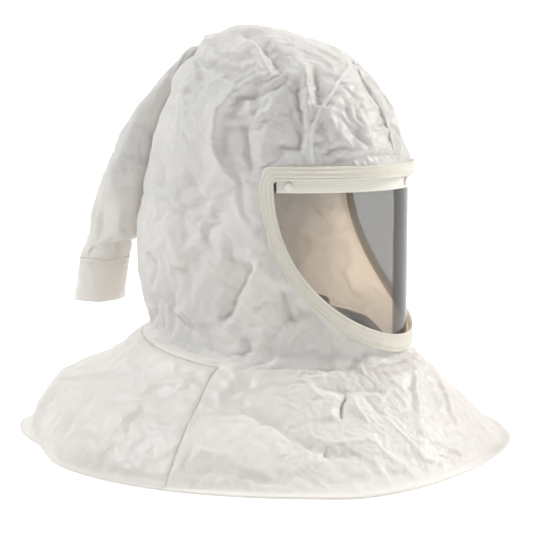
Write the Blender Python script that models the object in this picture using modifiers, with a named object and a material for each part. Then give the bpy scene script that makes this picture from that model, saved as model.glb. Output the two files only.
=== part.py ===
"""Loose-fitting air-fed respirator hood on a hard hat with a ratchet suspension and an air duct.

Metres, +Z up. The wearer faces -Y, and the origin is on the ground under the middle of the cape.
Run with: blender --background --python part.py
"""

import math
from collections import namedtuple

import bmesh
import bpy
from mathutils import Matrix, Vector

MM = 0.001

# Driving dimensions ---------------------------------------------------------------------------
HOOD_HEIGHT = 436 * MM
CAPE_HALF_WIDTH = 259 * MM
CAPE_HALF_LENGTH = 259 * MM
VISOR_RADIUS = 118 * MM
VISOR_Y = -40 * MM  # the lens is a part of a cylinder standing on this line
VISOR_TOP = 281 * MM  # top of the clear opening
VISOR_DEPTH = 163 * MM  # from the top of the clear opening to its lowest point
VISOR_HALF_ANGLE = math.radians(82)
FABRIC = 0.8 * MM
GAP = 0.3 * MM  # left between pieces that touch

HAT_Y = -14 * MM  # middle of the hard hat
HAT_RIM = 285 * MM
HAT_HALF_WIDTH = 108 * MM
HAT_HALF_LENGTH = 127 * MM
HAT_RISE = 133 * MM
HAT_WALL = 2.5 * MM

KNOB_Z = 252 * MM  # the ratchet's shaft is level with the nape
PINION_RADIUS = 5 * MM  # pitch radius, 10 teeth
PINION_TEETH = 10

VISOR_HALF_ARC = VISOR_RADIUS * VISOR_HALF_ANGLE
OUTLINE_POWER = 2.05  # 2 would make the lower edge of the visor half an ellipse
BINDING_WIDTH = 14 * MM
BINDING_TOP_WIDTH = 14 * MM
BINDING_THICKNESS = 1.0 * MM
BINDING_LIFT = 1.3 * MM  # its inner face above the hood's nominal radius there
LENS_THICKNESS = 1.0 * MM
LENS_MARGIN = 6 * MM  # lens sewn behind the binding
BAND_HALF_ARC = VISOR_RADIUS * math.radians(81)
BAND_THICKNESS = 0.9 * MM
SNAP_ANGLES = {"right": math.radians(-75), "front": 0.0, "left": math.radians(75)}
SNAP_Z = VISOR_TOP - 6 * MM

SPIGOT_DIRECTION = Vector((0, 0.378, -0.926))
SPIGOT_RADIUS = 17 * MM
SPIGOT_WALL = 2 * MM
SPIGOT_RUN = 26 * MM  # straight part that the hose's collar turns on

Section = namedtuple("Section", "z centre half_width front back lift")
# Level sections of the hood from crown to hem. centre is the y of the widest place, front and back
# are reaches from it, and lift raises the section at the back.
HOOD = [
    Section(HOOD_HEIGHT, 14 * MM, 0, 0, 0, 0),
    Section(431 * MM, 9 * MM, 32 * MM, 33 * MM, 33 * MM, 0),
    Section(420 * MM, -3 * MM, 54 * MM, 57 * MM, 57 * MM, 0),
    Section(407 * MM, -10 * MM, 70 * MM, 75 * MM, 75 * MM, 0),
    Section(387 * MM, -12 * MM, 89 * MM, 97 * MM, 96 * MM, 0),
    Section(348 * MM, -18 * MM, 109 * MM, 122 * MM, 122 * MM, 0),
    Section(306 * MM, -30 * MM, 117 * MM, 127 * MM, 150 * MM, 0),
    Section(283 * MM, VISOR_Y, VISOR_RADIUS, VISOR_RADIUS, 166 * MM, 0),
    Section(240 * MM, VISOR_Y, VISOR_RADIUS, VISOR_RADIUS, 177 * MM, 0),
    Section(195 * MM, VISOR_Y, VISOR_RADIUS, VISOR_RADIUS, 179 * MM, 0),
    Section(145 * MM, VISOR_Y, VISOR_RADIUS, VISOR_RADIUS, 173 * MM, 6 * MM),
    Section(98 * MM, VISOR_Y, 120 * MM, VISOR_RADIUS, 163 * MM, 24 * MM),
    Section(86 * MM, -5 * MM, 136 * MM, 165 * MM, 133 * MM, 30 * MM),
    Section(62 * MM, 0, 172 * MM, 193 * MM, 175 * MM, 18 * MM),
    Section(32 * MM, 0, 212 * MM, 222 * MM, 222 * MM, 26 * MM),
    Section(7 * MM, 0, 241 * MM, 243 * MM, 245 * MM, 14 * MM),
    Section(FABRIC, 0, 248 * MM, 249 * MM, 249 * MM, 0),
    Section(FABRIC, 0, CAPE_HALF_WIDTH, CAPE_HALF_LENGTH, CAPE_HALF_LENGTH, 0),
]
BROW, NECK, HEM = 6, 12, len(HOOD) - 1  # places in HOOD


# Scene helpers --------------------------------------------------------------------------------
def clear_scene():
    for obj in list(bpy.data.objects):
        bpy.data.objects.remove(obj, do_unlink=True)


def collection(name):
    made = bpy.data.collections.new(name)
    bpy.context.scene.collection.children.link(made)
    return made


def material(name, colour, roughness, metallic=0.0, alpha=1.0):
    made = bpy.data.materials.new(name)
    made.use_nodes = True
    shader = made.node_tree.nodes["Principled BSDF"]
    shader.inputs["Base Color"].default_value = (*colour, 1)
    shader.inputs["Roughness"].default_value = roughness
    shader.inputs["Metallic"].default_value = metallic
    shader.inputs["Alpha"].default_value = alpha
    return made


def add_object(name, mesh, mat, group, parent=None):
    obj = bpy.data.objects.new(name, mesh)
    mesh.materials.append(mat)
    group.objects.link(obj)
    if parent is not None:
        obj.parent = parent
        obj.matrix_parent_inverse = parent.matrix_world.inverted()
    return obj


def add_pivot(name, place, group, parent=None):
    """An empty on a joint's axis."""
    pivot = bpy.data.objects.new(name, None)
    pivot.location = place
    group.objects.link(pivot)
    bpy.context.view_layer.update()
    if parent is not None:
        pivot.parent = parent
        pivot.matrix_parent_inverse = parent.matrix_world.inverted()
        bpy.context.view_layer.update()
    return pivot


def mesh_from(name, bm):
    mesh = bpy.data.meshes.new(name)
    bm.to_mesh(mesh)
    bm.free()
    return mesh


def smooth(mesh, angle=40):
    mesh.shade_smooth()
    mesh.set_sharp_from_angle(angle=math.radians(angle))
    return mesh


def face_outward(mesh):
    """Turns all faces of a closed mesh outward."""
    bm = bmesh.new()
    bm.from_mesh(mesh)
    bmesh.ops.recalc_face_normals(bm, faces=bm.faces)
    bm.to_mesh(mesh)
    bm.free()


def surface(name, rows, around=False, caps=False, keep=None):
    """Quads between rows of points. A row of one point is a tip, caps close the first and last rows,
    and keep says which quads are made, by row and column."""
    bm = bmesh.new()
    made = [[bm.verts.new(point) for point in row] for row in rows]
    for upper, lower in zip(made, made[1:]):
        count = max(len(upper), len(lower))
        for i in range(count if around else count - 1):
            if keep is not None and not keep(made.index(upper), i):
                continue
            j = (i + 1) % count
            above = [upper[i % len(upper)], upper[j % len(upper)]]
            below = [lower[i % len(lower)], lower[j % len(lower)]]
            loop = [above[0], below[0], below[1], above[1]]
            corners = [v for k, v in enumerate(loop) if v not in loop[:k]]
            bm.faces.new(corners)
    if caps:
        bm.faces.new(made[0])
        bm.faces.new(list(reversed(made[-1])))
    bmesh.ops.delete(bm, geom=[v for v in bm.verts if not v.link_faces], context="VERTS")
    return smooth(mesh_from(name, bm))


def thicken(obj, thickness, offset=-1.0):
    """Solidify: offset -1 adds the wall on the inner side of the surface, 1 on the outer side."""
    modifier = obj.modifiers.new("Wall", "SOLIDIFY")
    modifier.thickness = thickness
    modifier.offset = offset
    modifier.use_even_offset = True
    return obj


def bevel(obj, width, segments=2):
    modifier = obj.modifiers.new("Edges", "BEVEL")
    modifier.width = width
    modifier.segments = segments
    modifier.limit_method = "ANGLE"
    modifier.angle_limit = math.radians(40)
    return obj


def boolean(obj, other, operation="DIFFERENCE"):
    modifier = obj.modifiers.new(other.name, "BOOLEAN")
    modifier.operation = operation
    modifier.object = other
    modifier.solver = "EXACT"
    return obj


def as_cutter(obj):
    obj.hide_render = True
    obj.display_type = "WIRE"
    return obj


def box_mesh(name, size, centre=(0, 0, 0)):
    bm = bmesh.new()
    bmesh.ops.create_cube(bm, size=1)
    bmesh.ops.scale(bm, vec=size, verts=bm.verts)
    bmesh.ops.translate(bm, vec=centre, verts=bm.verts)
    return mesh_from(name, bm)


def rod_mesh(name, radius, start, end, sides=24, end_radius=None):
    """A closed cylinder or cone from start to end."""
    start, end = Vector(start), Vector(end)
    bm = bmesh.new()
    bmesh.ops.create_cone(
        bm, cap_ends=True, segments=sides, depth=(end - start).length,
        radius1=radius, radius2=radius if end_radius is None else end_radius,
    )
    turn = (end - start).to_track_quat("Z", "Y").to_matrix().to_4x4()
    bmesh.ops.transform(bm, matrix=Matrix.Translation((start + end) / 2) @ turn, verts=bm.verts)
    return smooth(mesh_from(name, bm), 30)


def turned(name, profile, place, direction, mat, group, parent=None, steps=28):
    """A turned ring: profile is (radius, along) points in order, closed by the Screw's own loop."""
    bm = bmesh.new()
    area = sum(a[0] * b[1] - b[0] * a[1] for a, b in zip(profile, profile[1:] + profile[:1]))
    if area > 0:  # the Screw's faces point outwards when the loop runs this way round
        profile = list(reversed(profile))
    points = [bm.verts.new((radius, 0, along)) for radius, along in profile]
    for first, second in zip(points, points[1:] + points[:1]):
        bm.edges.new((first, second))
    obj = add_object(name, mesh_from(name, bm), mat, group)
    obj.location = place
    obj.rotation_euler = Vector(direction).to_track_quat("Z", "Y").to_euler()
    bpy.context.view_layer.update()
    screw = obj.modifiers.new("Turn", "SCREW")
    screw.axis = "Z"
    screw.steps = steps
    screw.render_steps = steps
    screw.use_merge_vertices = True
    screw.merge_threshold = 0.01 * MM
    if parent is not None:
        obj.parent = parent
        obj.matrix_parent_inverse = parent.matrix_world.inverted()
    return obj


def catmull(values, t):
    """A smooth curve through values at t = 0, 1, 2, ..."""
    last = len(values) - 1
    i = min(int(t), last - 1)
    f = t - i
    a, b, c, d = (values[min(max(k, 0), last)] for k in (i - 1, i, i + 1, i + 2))
    return b + 0.5 * f * (c - a + f * (2 * a - 5 * b + 4 * c - d + f * (3 * (b - c) + d - a)))


# Hood surface ---------------------------------------------------------------------------------
BACK_FULLNESS = 0.9  # under 1 makes the back of a section squarer than an ellipse


def section_at(t):
    i = min(int(t), len(HOOD) - 2)
    if i in (0, HEM - 1, HEM - 2):  # straight to the tip and across the flat hem
        f = t - i
        if i == 0:
            f_out = math.sqrt(f)
            return Section(*(a + (b - a) * (f if k in (0, 5) else f_out)
                             for k, (a, b) in enumerate(zip(HOOD[0], HOOD[1]))))
        return Section(*(a + (b - a) * f for a, b in zip(HOOD[i], HOOD[i + 1])))
    return Section(*(catmull([s[k] for s in HOOD], t) for k in range(len(HOOD[0]))))


def hood_point(angle, t):
    """The outer face of the hood. angle is 0 at the front and 90 degrees at the wearer's left."""
    s = section_at(t)
    across, along = math.sin(angle), math.cos(angle)
    if along >= 0:
        x, y = s.half_width * across, s.centre - s.front * along
    else:
        fullness = 1 - (1 - BACK_FULLNESS) * min(1, -2 * along)
        x = s.half_width * math.copysign(abs(across) ** fullness, across)
        y = s.centre + s.back * abs(along) ** fullness
    return Vector((x, y, s.z + s.lift * ((1 - along) / 2) ** 2))


def hood_rows(ts, first_angle, last_angle, columns):
    """Rows of points at places in HOOD, between two angles."""
    rows = []
    for t in ts:
        if t == 0:
            rows.append([hood_point(first_angle, 0)])
            continue
        steps = [first_angle + (last_angle - first_angle) * k / columns for k in range(columns + 1)]
        rows.append([hood_point(a, t) for a in steps])
    return rows


def moved(rows, offset):
    return [[point + Vector(offset) for point in row] for row in rows]


# Visor outline, as (arc length from the middle, height) -----------------------------------------
VISOR_SHOULDER = 3 * MM  # short straight edge above the curved one


def lower_edge(arc, grow=0.0):
    """Height of the visor's curved lower edge at that arc length, grown outwards."""
    share = min(1.0, abs(arc) / (VISOR_HALF_ARC + grow))
    fall = (1 - share**OUTLINE_POWER) ** (1 / OUTLINE_POWER)
    return VISOR_TOP - VISOR_SHOULDER - (VISOR_DEPTH - VISOR_SHOULDER + grow) * fall


def visor_outline(grow=0.0, grow_top=0.0, steps=32, top_steps=14):
    """The whole outline, from the left corner round the bottom and back along the top."""
    half = VISOR_HALF_ARC + grow
    points = []
    for k in range(steps + 1):
        turn = math.pi * k / steps
        share = abs(math.cos(turn)) ** (2 / OUTLINE_POWER)
        arc = -math.copysign(half * share, math.cos(turn))
        points.append((arc, lower_edge(arc, grow)))
    top = VISOR_TOP + grow_top
    points += [(half - 2 * half * k / top_steps, top) for k in range(top_steps + 1)]
    return points


def on_visor(arc, z, radius=VISOR_RADIUS):
    angle = arc / VISOR_RADIUS
    return Vector((radius * math.sin(angle), VISOR_Y - radius * math.cos(angle), z))


def prism(name, outline, front, back, group):
    """A closed prism along Y with an (x, z) outline."""
    bm = bmesh.new()
    face = bm.faces.new([bm.verts.new((x, front, z)) for x, z in outline])
    grown = bmesh.ops.extrude_face_region(bm, geom=[face])
    verts = [v for v in grown["geom"] if isinstance(v, bmesh.types.BMVert)]
    bmesh.ops.translate(bm, vec=(0, back - front, 0), verts=verts)
    bmesh.ops.recalc_face_normals(bm, faces=bm.faces)
    obj = bpy.data.objects.new(name, mesh_from(name, bm))
    group.objects.link(obj)
    return as_cutter(obj)


def gore_outline(shrink=0.0):
    """Front view of the crown's gathered front panel: a rounded triangle on the brow."""
    base = BINDING_TOP_WIDTH + VISOR_TOP + 3 * MM + shrink
    rise, half = 96 * MM - 2 * shrink, 102 * MM - shrink
    steps = 10
    right = [(half * (1 - (k / steps) ** 2.1), base + rise * k / steps) for k in range(steps)]
    return right + [(0, base + rise)] + [(-x, z) for x, z in reversed(right)]


# Fabric ---------------------------------------------------------------------------------------
def make_fabric(group, cutters, mats, elbow_cutter):
    opening = []
    for arc, z in visor_outline(4 * MM, 4 * MM):
        turn = max(-math.pi / 2, min(math.pi / 2, arc / VISOR_RADIUS))
        opening.append((VISOR_RADIUS * math.sin(turn), z))
    window = prism("visor_opening_cutter", opening, -0.35, VISOR_Y - 9 * MM, cutters)
    gore_gap = prism("crown_gap_cutter", gore_outline(), -0.35, -25 * MM, cutters)
    gore = prism("crown_shape", gore_outline(GAP * 2), -0.35, -26 * MM, cutters)

    columns = 16
    seam_row = NECK - 1
    neck_edge = NECK - 0.06
    ts = list(range(NECK)) + [neck_edge] + list(range(NECK + 1, HEM + 1))
    for side, first, last in (("right", -math.pi, 0.0), ("left", 0.0, math.pi)):
        sign = -1 if side == "right" else 1
        rows = moved(hood_rows(ts, first, last, columns), (sign * GAP, 0, 0))
        front = range(columns // 2, columns) if side == "right" else range(columns // 2)
        mesh = surface("panel", rows, keep=lambda row, column: row <= seam_row or column in front)
        panel = add_object(f"hood_panel_{side}", mesh, mats["fabric"], group)
        thicken(panel, FABRIC)
        for cutter in (window, gore_gap, elbow_cutter):
            boolean(panel, cutter)

    rows = hood_rows(list(range(3, BROW + 2)), -math.pi / 2, math.pi / 2, 20)
    crown = add_object("crown_front_panel", surface("crown", rows), mats["fabric"], group)
    thicken(crown, FABRIC)
    boolean(crown, gore, "INTERSECT")

    seam = math.radians(0.1)
    rows = hood_rows(list(range(NECK, HEM + 1)), math.pi / 2 + seam, 1.5 * math.pi - seam, columns)
    thicken(add_object("back_cape", surface("cape", rows), mats["fabric"], group), FABRIC)


# Collar ---------------------------------------------------------------------------------------
COLLAR_TOP = 134 * MM
NECK_HALF_WIDTH = 66 * MM
NECK_HALF_LENGTH = 70 * MM


def oval(half_width, front, back, z, centre=0.0, count=28):
    ring = []
    for k in range(count):
        turn = 2 * math.pi * k / count
        reach = front if math.cos(turn) >= 0 else back
        ring.append(Vector((half_width * math.sin(turn), centre - reach * math.cos(turn), z)))
    return ring


def inside_hood(angle, t, depth):
    """A point level with the hood's surface and that deep inside it."""
    nudge = 0.01
    along = hood_point(angle + nudge, t) - hood_point(angle - nudge, t)
    inward = Vector((0, 0, 1)).cross(along).normalized()
    return hood_point(angle, t) + inward * depth


def make_collar(group, mats):
    """The inner collar rises from the neck seam to an elastic neck opening."""
    outer = [inside_hood(2 * math.pi * k / 28, NECK - 0.3, 7 * MM) for k in range(28)]
    middle = oval(96 * MM, 108 * MM, 88 * MM, 127 * MM)
    neck = oval(NECK_HALF_WIDTH, NECK_HALF_LENGTH, NECK_HALF_LENGTH, COLLAR_TOP)
    mesh = surface("collar", [neck, middle, outer], around=True)
    collar = add_object("inner_collar", mesh, mats["fabric"], group)
    thicken(collar, FABRIC)
    low, high = COLLAR_TOP + 2 * GAP, COLLAR_TOP + 10 * MM
    rings = [oval(NECK_HALF_WIDTH, NECK_HALF_LENGTH, NECK_HALF_LENGTH, z) for z in (high, low)]
    elastic = add_object("collar_elastic", surface("elastic", rings, around=True), mats["elastic"], group)
    thicken(elastic, 1.4 * MM)


Slice = namedtuple("Slice", "z rear half_width")
# Level slices of the breathing tube's sleeve behind the hood, from the crown to the cuff.
SLEEVE = [
    Slice(411 * MM, 84 * MM, 24 * MM),
    Slice(392 * MM, 108 * MM, 31 * MM),
    Slice(366 * MM, 134 * MM, 35 * MM),
    Slice(330 * MM, 161 * MM, 36 * MM),
    Slice(285 * MM, 184 * MM, 36 * MM),
    Slice(235 * MM, 204 * MM, 34 * MM),
    Slice(181 * MM, 219 * MM, 31 * MM),
]
SLEEVE_MOUTH = 49 * MM  # front to back across the free lower end
CUFF_TOP, CUFF_BOTTOM = 180 * MM, 132 * MM
SLEEVE_COUNT = 24


def flat_ring(front, rear, half_width, z, squareness=0.8, count=SLEEVE_COUNT):
    """A level ring that is squarer than an ellipse, from front to rear."""
    middle, reach = (front + rear) / 2, (rear - front) / 2
    ring = []
    for k in range(count):
        turn = 2 * math.pi * k / count
        across, along = math.sin(turn), math.cos(turn)
        ring.append(Vector((
            half_width * math.copysign(abs(across) ** squareness, across),
            middle - reach * math.copysign(abs(along) ** squareness, along), z)))
    return ring


def hood_back_at(z):
    """The y of the hood's back at a height, found by halving."""
    low, high = 0.0, float(NECK)
    for _ in range(30):
        t = (low + high) / 2
        if hood_point(math.pi, t).z > z:
            low = t
        else:
            high = t
    return hood_point(math.pi, low).y


def make_sleeve(group, mats, elbow_cutter):
    rows = []
    for s in SLEEVE:
        front = max(hood_back_at(s.z) + 1.6 * MM, 0)
        if s.z < 200 * MM:
            front = s.rear - SLEEVE_MOUTH
        rows.append(flat_ring(front, s.rear, s.half_width, s.z))
    tip = [Vector((0, 78 * MM, 414 * MM))]
    sleeve = add_object("tube_sleeve", surface("sleeve", [tip] + rows, around=True), mats["fabric"], group)
    thicken(sleeve, FABRIC)
    boolean(sleeve, elbow_cutter)
    rear = SLEEVE[-1].rear
    flare = 7 * MM
    rows = [flat_ring(rear - SLEEVE_MOUTH, rear, 31 * MM, CUFF_TOP),
            flat_ring(rear - SLEEVE_MOUTH + flare, rear + flare, 31 * MM, CUFF_BOTTOM)]
    cuff = add_object("sleeve_cuff", surface("cuff", rows, around=True), mats["fabric"], group)
    thicken(cuff, 1.4 * MM)


# Visor ----------------------------------------------------------------------------------------
def make_visor(group, cutters, mats):
    lift = VISOR_RADIUS + BINDING_LIFT
    inner = [on_visor(arc, z, lift) for arc, z in visor_outline()]
    outer = [on_visor(arc, z, lift) for arc, z in visor_outline(BINDING_WIDTH, BINDING_TOP_WIDTH)]
    lowest = min(p.z for p in outer)
    for p in outer:  # the strip is wider under the chin
        near_bottom = max(0.0, 1 - (p.z - lowest) / (40 * MM))
        p.z -= 5 * MM * near_bottom
    mesh = surface("binding", [inner, outer], around=True)
    binding = add_object("visor_binding", mesh, mats["binding"], group)
    thicken(binding, BINDING_THICKNESS, 1.0)

    band_face = VISOR_RADIUS - FABRIC - 1.4 * MM
    arcs = [BAND_HALF_ARC * (2 * k / 28 - 1) for k in range(29)]
    heights = (VISOR_TOP + 2 * MM, VISOR_TOP - 12.5 * MM)
    rows = [[on_visor(arc, z, band_face) for arc in arcs] for z in heights]
    band = add_object("brow_band", surface("band", rows), mats["band"], group)
    thicken(band, BAND_THICKNESS)

    half = (VISOR_HALF_ARC + LENS_MARGIN) * 0.985
    arcs = [half * (2 * k / 32 - 1) for k in range(33)]
    lens_face = band_face - BAND_THICKNESS - GAP
    top = VISOR_TOP + LENS_MARGIN
    rows = []
    for k in range(5):
        shares = [(arc, top + (lower_edge(arc, LENS_MARGIN) - top) * k / 4) for arc in arcs]
        rows.append([on_visor(arc, z, lens_face) for arc, z in shares])
    lens = add_object("visor_lens", surface("lens", rows), mats["lens"], group)
    thicken(lens, LENS_THICKNESS)

    for place, angle in SNAP_ANGLES.items():
        out = Vector((math.sin(angle), -math.cos(angle), 0))
        centre = Vector((0, VISOR_Y, SNAP_Z))
        ends = (centre + out * 105 * MM, centre + out * 125 * MM)
        rod = rod_mesh("hole", 2.4 * MM, *ends, 12)
        hole = add_object(f"snap_hole_{place}", rod, mats["band"], cutters)
        as_cutter(hole)
        for piece in (lens, band, bpy.data.objects["hard_hat"]):
            boolean(piece, hole)
        turned(f"snap_cap_{place}", [
            (4.6 * MM, 0), (4.2 * MM, 1.3 * MM), (2.4 * MM, 2.0 * MM), (0, 2.1 * MM),
            (0, -9.6 * MM), (1.9 * MM, -9.6 * MM), (1.9 * MM, 0)],
            centre + out * (band_face + GAP), out, mats["band"], group, steps=16)
        turned(f"snap_socket_{place}", [
            (2.3 * MM, 0), (2.3 * MM, 1.6 * MM), (5 * MM, 1.6 * MM), (5 * MM, 0)],
            centre + out * (BRIM_RADIUS - HAT_WALL - 4.6 * MM), out, mats["steel"], group, steps=16)


# Hard hat -------------------------------------------------------------------------------------
BRIM_RADIUS = VISOR_RADIUS - 5.6 * MM  # the brim follows the lens
HAT_COUNT = 36


def hat_ring(share, z, count=HAT_COUNT):
    return [Vector((HAT_HALF_WIDTH * share * math.sin(a), HAT_Y - HAT_HALF_LENGTH * share * math.cos(a), z))
            for a in (2 * math.pi * k / count for k in range(count))]


def make_hat(group, mats, elbow_cutter):
    rows = [[Vector((0, HAT_Y, HAT_RIM + HAT_RISE))]]
    levels = 8
    for k in range(1, levels + 1):
        climb = math.pi / 2 * (1 - k / levels)
        rows.append(hat_ring(math.cos(climb), HAT_RIM + HAT_RISE * math.sin(climb)))
    rim = rows[-1]
    brim = []
    for p in rim:
        angle = math.atan2(p.x, VISOR_Y - p.y)
        keep = min(1.0, max(0.0, (math.radians(112) - abs(angle)) / math.radians(26)))
        keep = keep * keep * (3 - 2 * keep)
        edge = Vector((BRIM_RADIUS * math.sin(angle), VISOR_Y - BRIM_RADIUS * math.cos(angle), p.z))
        flat = Vector((p.x * 1.01, HAT_Y + (p.y - HAT_Y) * 1.01, p.z))
        brim.append(flat.lerp(edge, keep))
    rows.append([p + Vector((0, 0, -1.5 * MM)) for p in brim])
    rows.append([p + Vector((0, 0, -16 * MM)) for p in brim])
    hat = add_object("hard_hat", surface("hat", rows, around=True), mats["hat"], group)
    thicken(hat, HAT_WALL)
    boolean(hat, elbow_cutter)
    return hat


# Air path -------------------------------------------------------------------------------------
ELBOW_START = Vector((0, 84 * MM, 346 * MM))
ELBOW_END = Vector((0, 157.5 * MM, 272 * MM))


def elbow_path(steps=8):
    """Backwards out of the duct, round a bend and straight down along the sleeve."""
    bend_end = ELBOW_END - SPIGOT_DIRECTION * SPIGOT_RUN
    corner = bend_end + SPIGOT_DIRECTION * (ELBOW_START.z - bend_end.z) / SPIGOT_DIRECTION.z
    points = []
    for k in range(steps + 1):
        f = k / steps
        points.append(ELBOW_START * (1 - f) ** 2 + corner * 2 * f * (1 - f) + bend_end * f**2)
    return points + [bend_end.lerp(ELBOW_END, 0.5), ELBOW_END]


def tube_rows(points, radius, sides=20):
    """Rings square to a path that lies in the middle plane."""
    rows = []
    for i, point in enumerate(points):
        ahead = (points[min(i + 1, len(points) - 1)] - points[max(i - 1, 0)]).normalized()
        side = Vector((1, 0, 0))
        up = side.cross(ahead)
        rows.append([point + side * radius * math.cos(2 * math.pi * k / sides)
                     + up * radius * math.sin(2 * math.pi * k / sides) for k in range(sides)])
    return rows


def make_elbow_cutter(cutters):
    path = elbow_path()
    overrun = 4 * MM
    before = path[0] - (path[1] - path[0]).normalized() * overrun
    path = [before] + path + [ELBOW_END + SPIGOT_DIRECTION * overrun]
    rows = [list(reversed(row)) for row in tube_rows(path, SPIGOT_RADIUS + 1 * MM)]
    mesh = surface("elbow_cut", rows, around=True, caps=True)
    obj = bpy.data.objects.new("elbow_cutter", mesh)
    cutters.objects.link(obj)
    face_outward(mesh)
    return as_cutter(obj)


def make_air_path(group, mats, elbow_cutter):
    rows = [list(reversed(row)) for row in tube_rows(elbow_path(), SPIGOT_RADIUS - SPIGOT_WALL)]
    elbow = add_object("air_inlet_elbow", surface("elbow", rows, around=True), mats["grey"], group)
    thicken(elbow, SPIGOT_WALL)
    seat = ELBOW_END - SPIGOT_DIRECTION * 20 * MM
    ring = SPIGOT_RADIUS + GAP
    turned("inlet_seal_ring", [(ring, 0), (ring, 2 * MM), (ring + 1.8 * MM, 2 * MM), (ring + 1.8 * MM, 0)],
           seat - SPIGOT_DIRECTION * 3 * MM, SPIGOT_DIRECTION, mats["rubber"], group)

    swivel = add_pivot("swivel_axis", seat, group)
    collar = add_object("hose_swivel_collar", swivel_mesh(ring), mats["grey"], group)
    collar.location = seat
    collar.rotation_euler = SPIGOT_DIRECTION.to_track_quat("Z", "Y").to_euler()
    bpy.context.view_layer.update()
    collar.parent = swivel
    collar.matrix_parent_inverse = swivel.matrix_world.inverted()

    half_width, depth = 22 * MM, 9 * MM
    reach, rise = HAT_HALF_LENGTH - HAT_WALL - 2 * MM, HAT_RISE - HAT_WALL - 2 * MM
    rows = []
    droop = 5 * MM  # the duct's edges hang lower, as the hat curves down to the sides
    first, last, count = math.radians(26), math.radians(170), 18
    for k in range(count + 1):
        climb = first + (last - first) * k / count
        out = Vector((0, math.cos(climb) / reach, math.sin(climb) / rise)).normalized()
        top = Vector((0, HAT_Y + reach * math.cos(climb), HAT_RIM + rise * math.sin(climb)))
        low = top - out * depth
        shift = Vector((half_width, 0, 0))
        edge = top - out * droop
        crest = [edge - shift, top - shift * 0.5, top + shift * 0.5, edge + shift]
        rows.append(crest + [low + shift, low - shift])
    duct = add_object("air_duct", surface("duct", rows, around=True), mats["duct"], group)
    thicken(duct, 1.2 * MM, -1.0)
    boolean(duct, elbow_cutter)
    front = Vector((0, HAT_Y - reach + depth / 2 + 1 * MM, HAT_RIM + rise * math.sin(last) - 8.5 * MM))
    foam = box_mesh("foam", (40 * MM, 6 * MM, 12 * MM), front)
    bevel(add_object("air_diffuser_foam", foam, mats["foam"], group), 1 * MM)


def swivel_mesh(bore):
    """The hose's bayonet collar: a ribbed ring around the spigot."""
    ribs, length = 10, 14 * MM
    rows = []
    for z, grow in ((0, -0.8), (1.5, 0), (length / MM - 1.5, 0), (length / MM, -0.8)):
        ring = []
        for k in range(ribs * 4):
            rib = 0.9 if k % 4 in (0, 1) else 0.0
            radius = bore + (3.0 + rib + grow) * MM
            turn = 2 * math.pi * k / (ribs * 4)
            ring.append(Vector((radius * math.cos(turn), radius * math.sin(turn), z * MM)))
        rows.append(ring)
    inner = []
    for z in (length, 0.0):
        turns = [2 * math.pi * k / (ribs * 4) for k in range(ribs * 4)]
        inner.append([Vector((bore * math.cos(a), bore * math.sin(a), z)) for a in turns])
    loops = rows + inner + [rows[0]]
    bm = bmesh.new()
    made = [[bm.verts.new(p) for p in ring] for ring in loops[:-1]]
    made.append(made[0])
    for low, high in zip(made, made[1:]):
        for i in range(len(low)):
            j = (i + 1) % len(low)
            bm.faces.new((low[i], low[j], high[j], high[i]))
    bmesh.ops.recalc_face_normals(bm, faces=bm.faces)
    return smooth(mesh_from("swivel", bm), 30)


# Suspension -----------------------------------------------------------------------------------
BAND_LOW, BAND_HIGH = 283 * MM, 309 * MM
BAND_HALF_WIDTH = 78 * MM
BAND_FRONT_Y = -10 * MM
BAND_REACH = 90 * MM
BAND_WALL = 1.5 * MM
KEY_ANGLES = {"front_right": -50, "front_left": 50, "rear_left": 130, "rear_right": -130}


def strip(name, path, low, high, mat, group, wall, offset=-1.0):
    """An upright strap along a level path of (x, y); low and high are functions of the share along it."""
    last = len(path) - 1
    rows = [[Vector((x, y, edge(k / last))) for k, (x, y) in enumerate(path)] for edge in (high, low)]
    return thicken(add_object(name, surface(name, rows), mat, group), wall, offset)


def arc_path(half_width, reach, centre, first, last, steps):
    turns = [math.radians(first + (last - first) * k / steps) for k in range(steps + 1)]
    return [(half_width * math.sin(a), centre - reach * math.cos(a)) for a in turns]


def make_headband(group, mats):
    curve = arc_path(BAND_HALF_WIDTH, BAND_REACH, BAND_FRONT_Y, -90, 90, 20)
    rear_end = 20 * MM
    path = [(-BAND_HALF_WIDTH, rear_end)] + curve + [(BAND_HALF_WIDTH, rear_end)]
    strip("headband_front", path, lambda f: BAND_LOW, lambda f: BAND_HIGH, mats["strap"], group, BAND_WALL)
    inset = BAND_WALL + GAP
    path = arc_path(BAND_HALF_WIDTH - inset, BAND_REACH - inset, BAND_FRONT_Y, -68, 68, 16)
    low, high = BAND_LOW - 3 * MM, BAND_HIGH + 3 * MM
    strip("sweatband", path, lambda f: low, lambda f: high, mats["foam"], group, 3 * MM)


def make_crown_straps(group, mats):
    """Two straps cross over the head from four keys in the hat's rim."""
    for name, angle, drop in (("crown_strap_upper", 50, 0), ("crown_strap_lower", 130, 3 * MM)):
        heading = math.radians(angle)
        forward = Vector((math.sin(heading), -math.cos(heading), 0))
        side = Vector((0, 0, 1)).cross(forward)
        reach = 96 * MM
        rows = []
        for k in range(17):
            climb = math.radians(8 + (172 - 8) * k / 16)
            centre = Vector((0, HAT_Y, HAT_RIM + 5 * MM))
            out = forward * math.cos(climb) + Vector((0, 0, 1)) * math.sin(climb)
            rise = (107 * MM - drop) * math.sin(climb)
            point = centre + forward * reach * math.cos(climb) + Vector((0, 0, rise))
            half, thin = side * 9.5 * MM, out * 0.6 * MM
            inside, outside = point - thin, point + thin
            rows.append([inside - half, inside + half, outside + half, outside - half])
        mesh = surface(name, rows, around=True, caps=True)
        bm = bmesh.new()
        bm.from_mesh(mesh)
        bmesh.ops.recalc_face_normals(bm, faces=bm.faces)
        bm.to_mesh(mesh)
        bm.free()
        add_object(name, mesh, mats["strap"], group)


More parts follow.
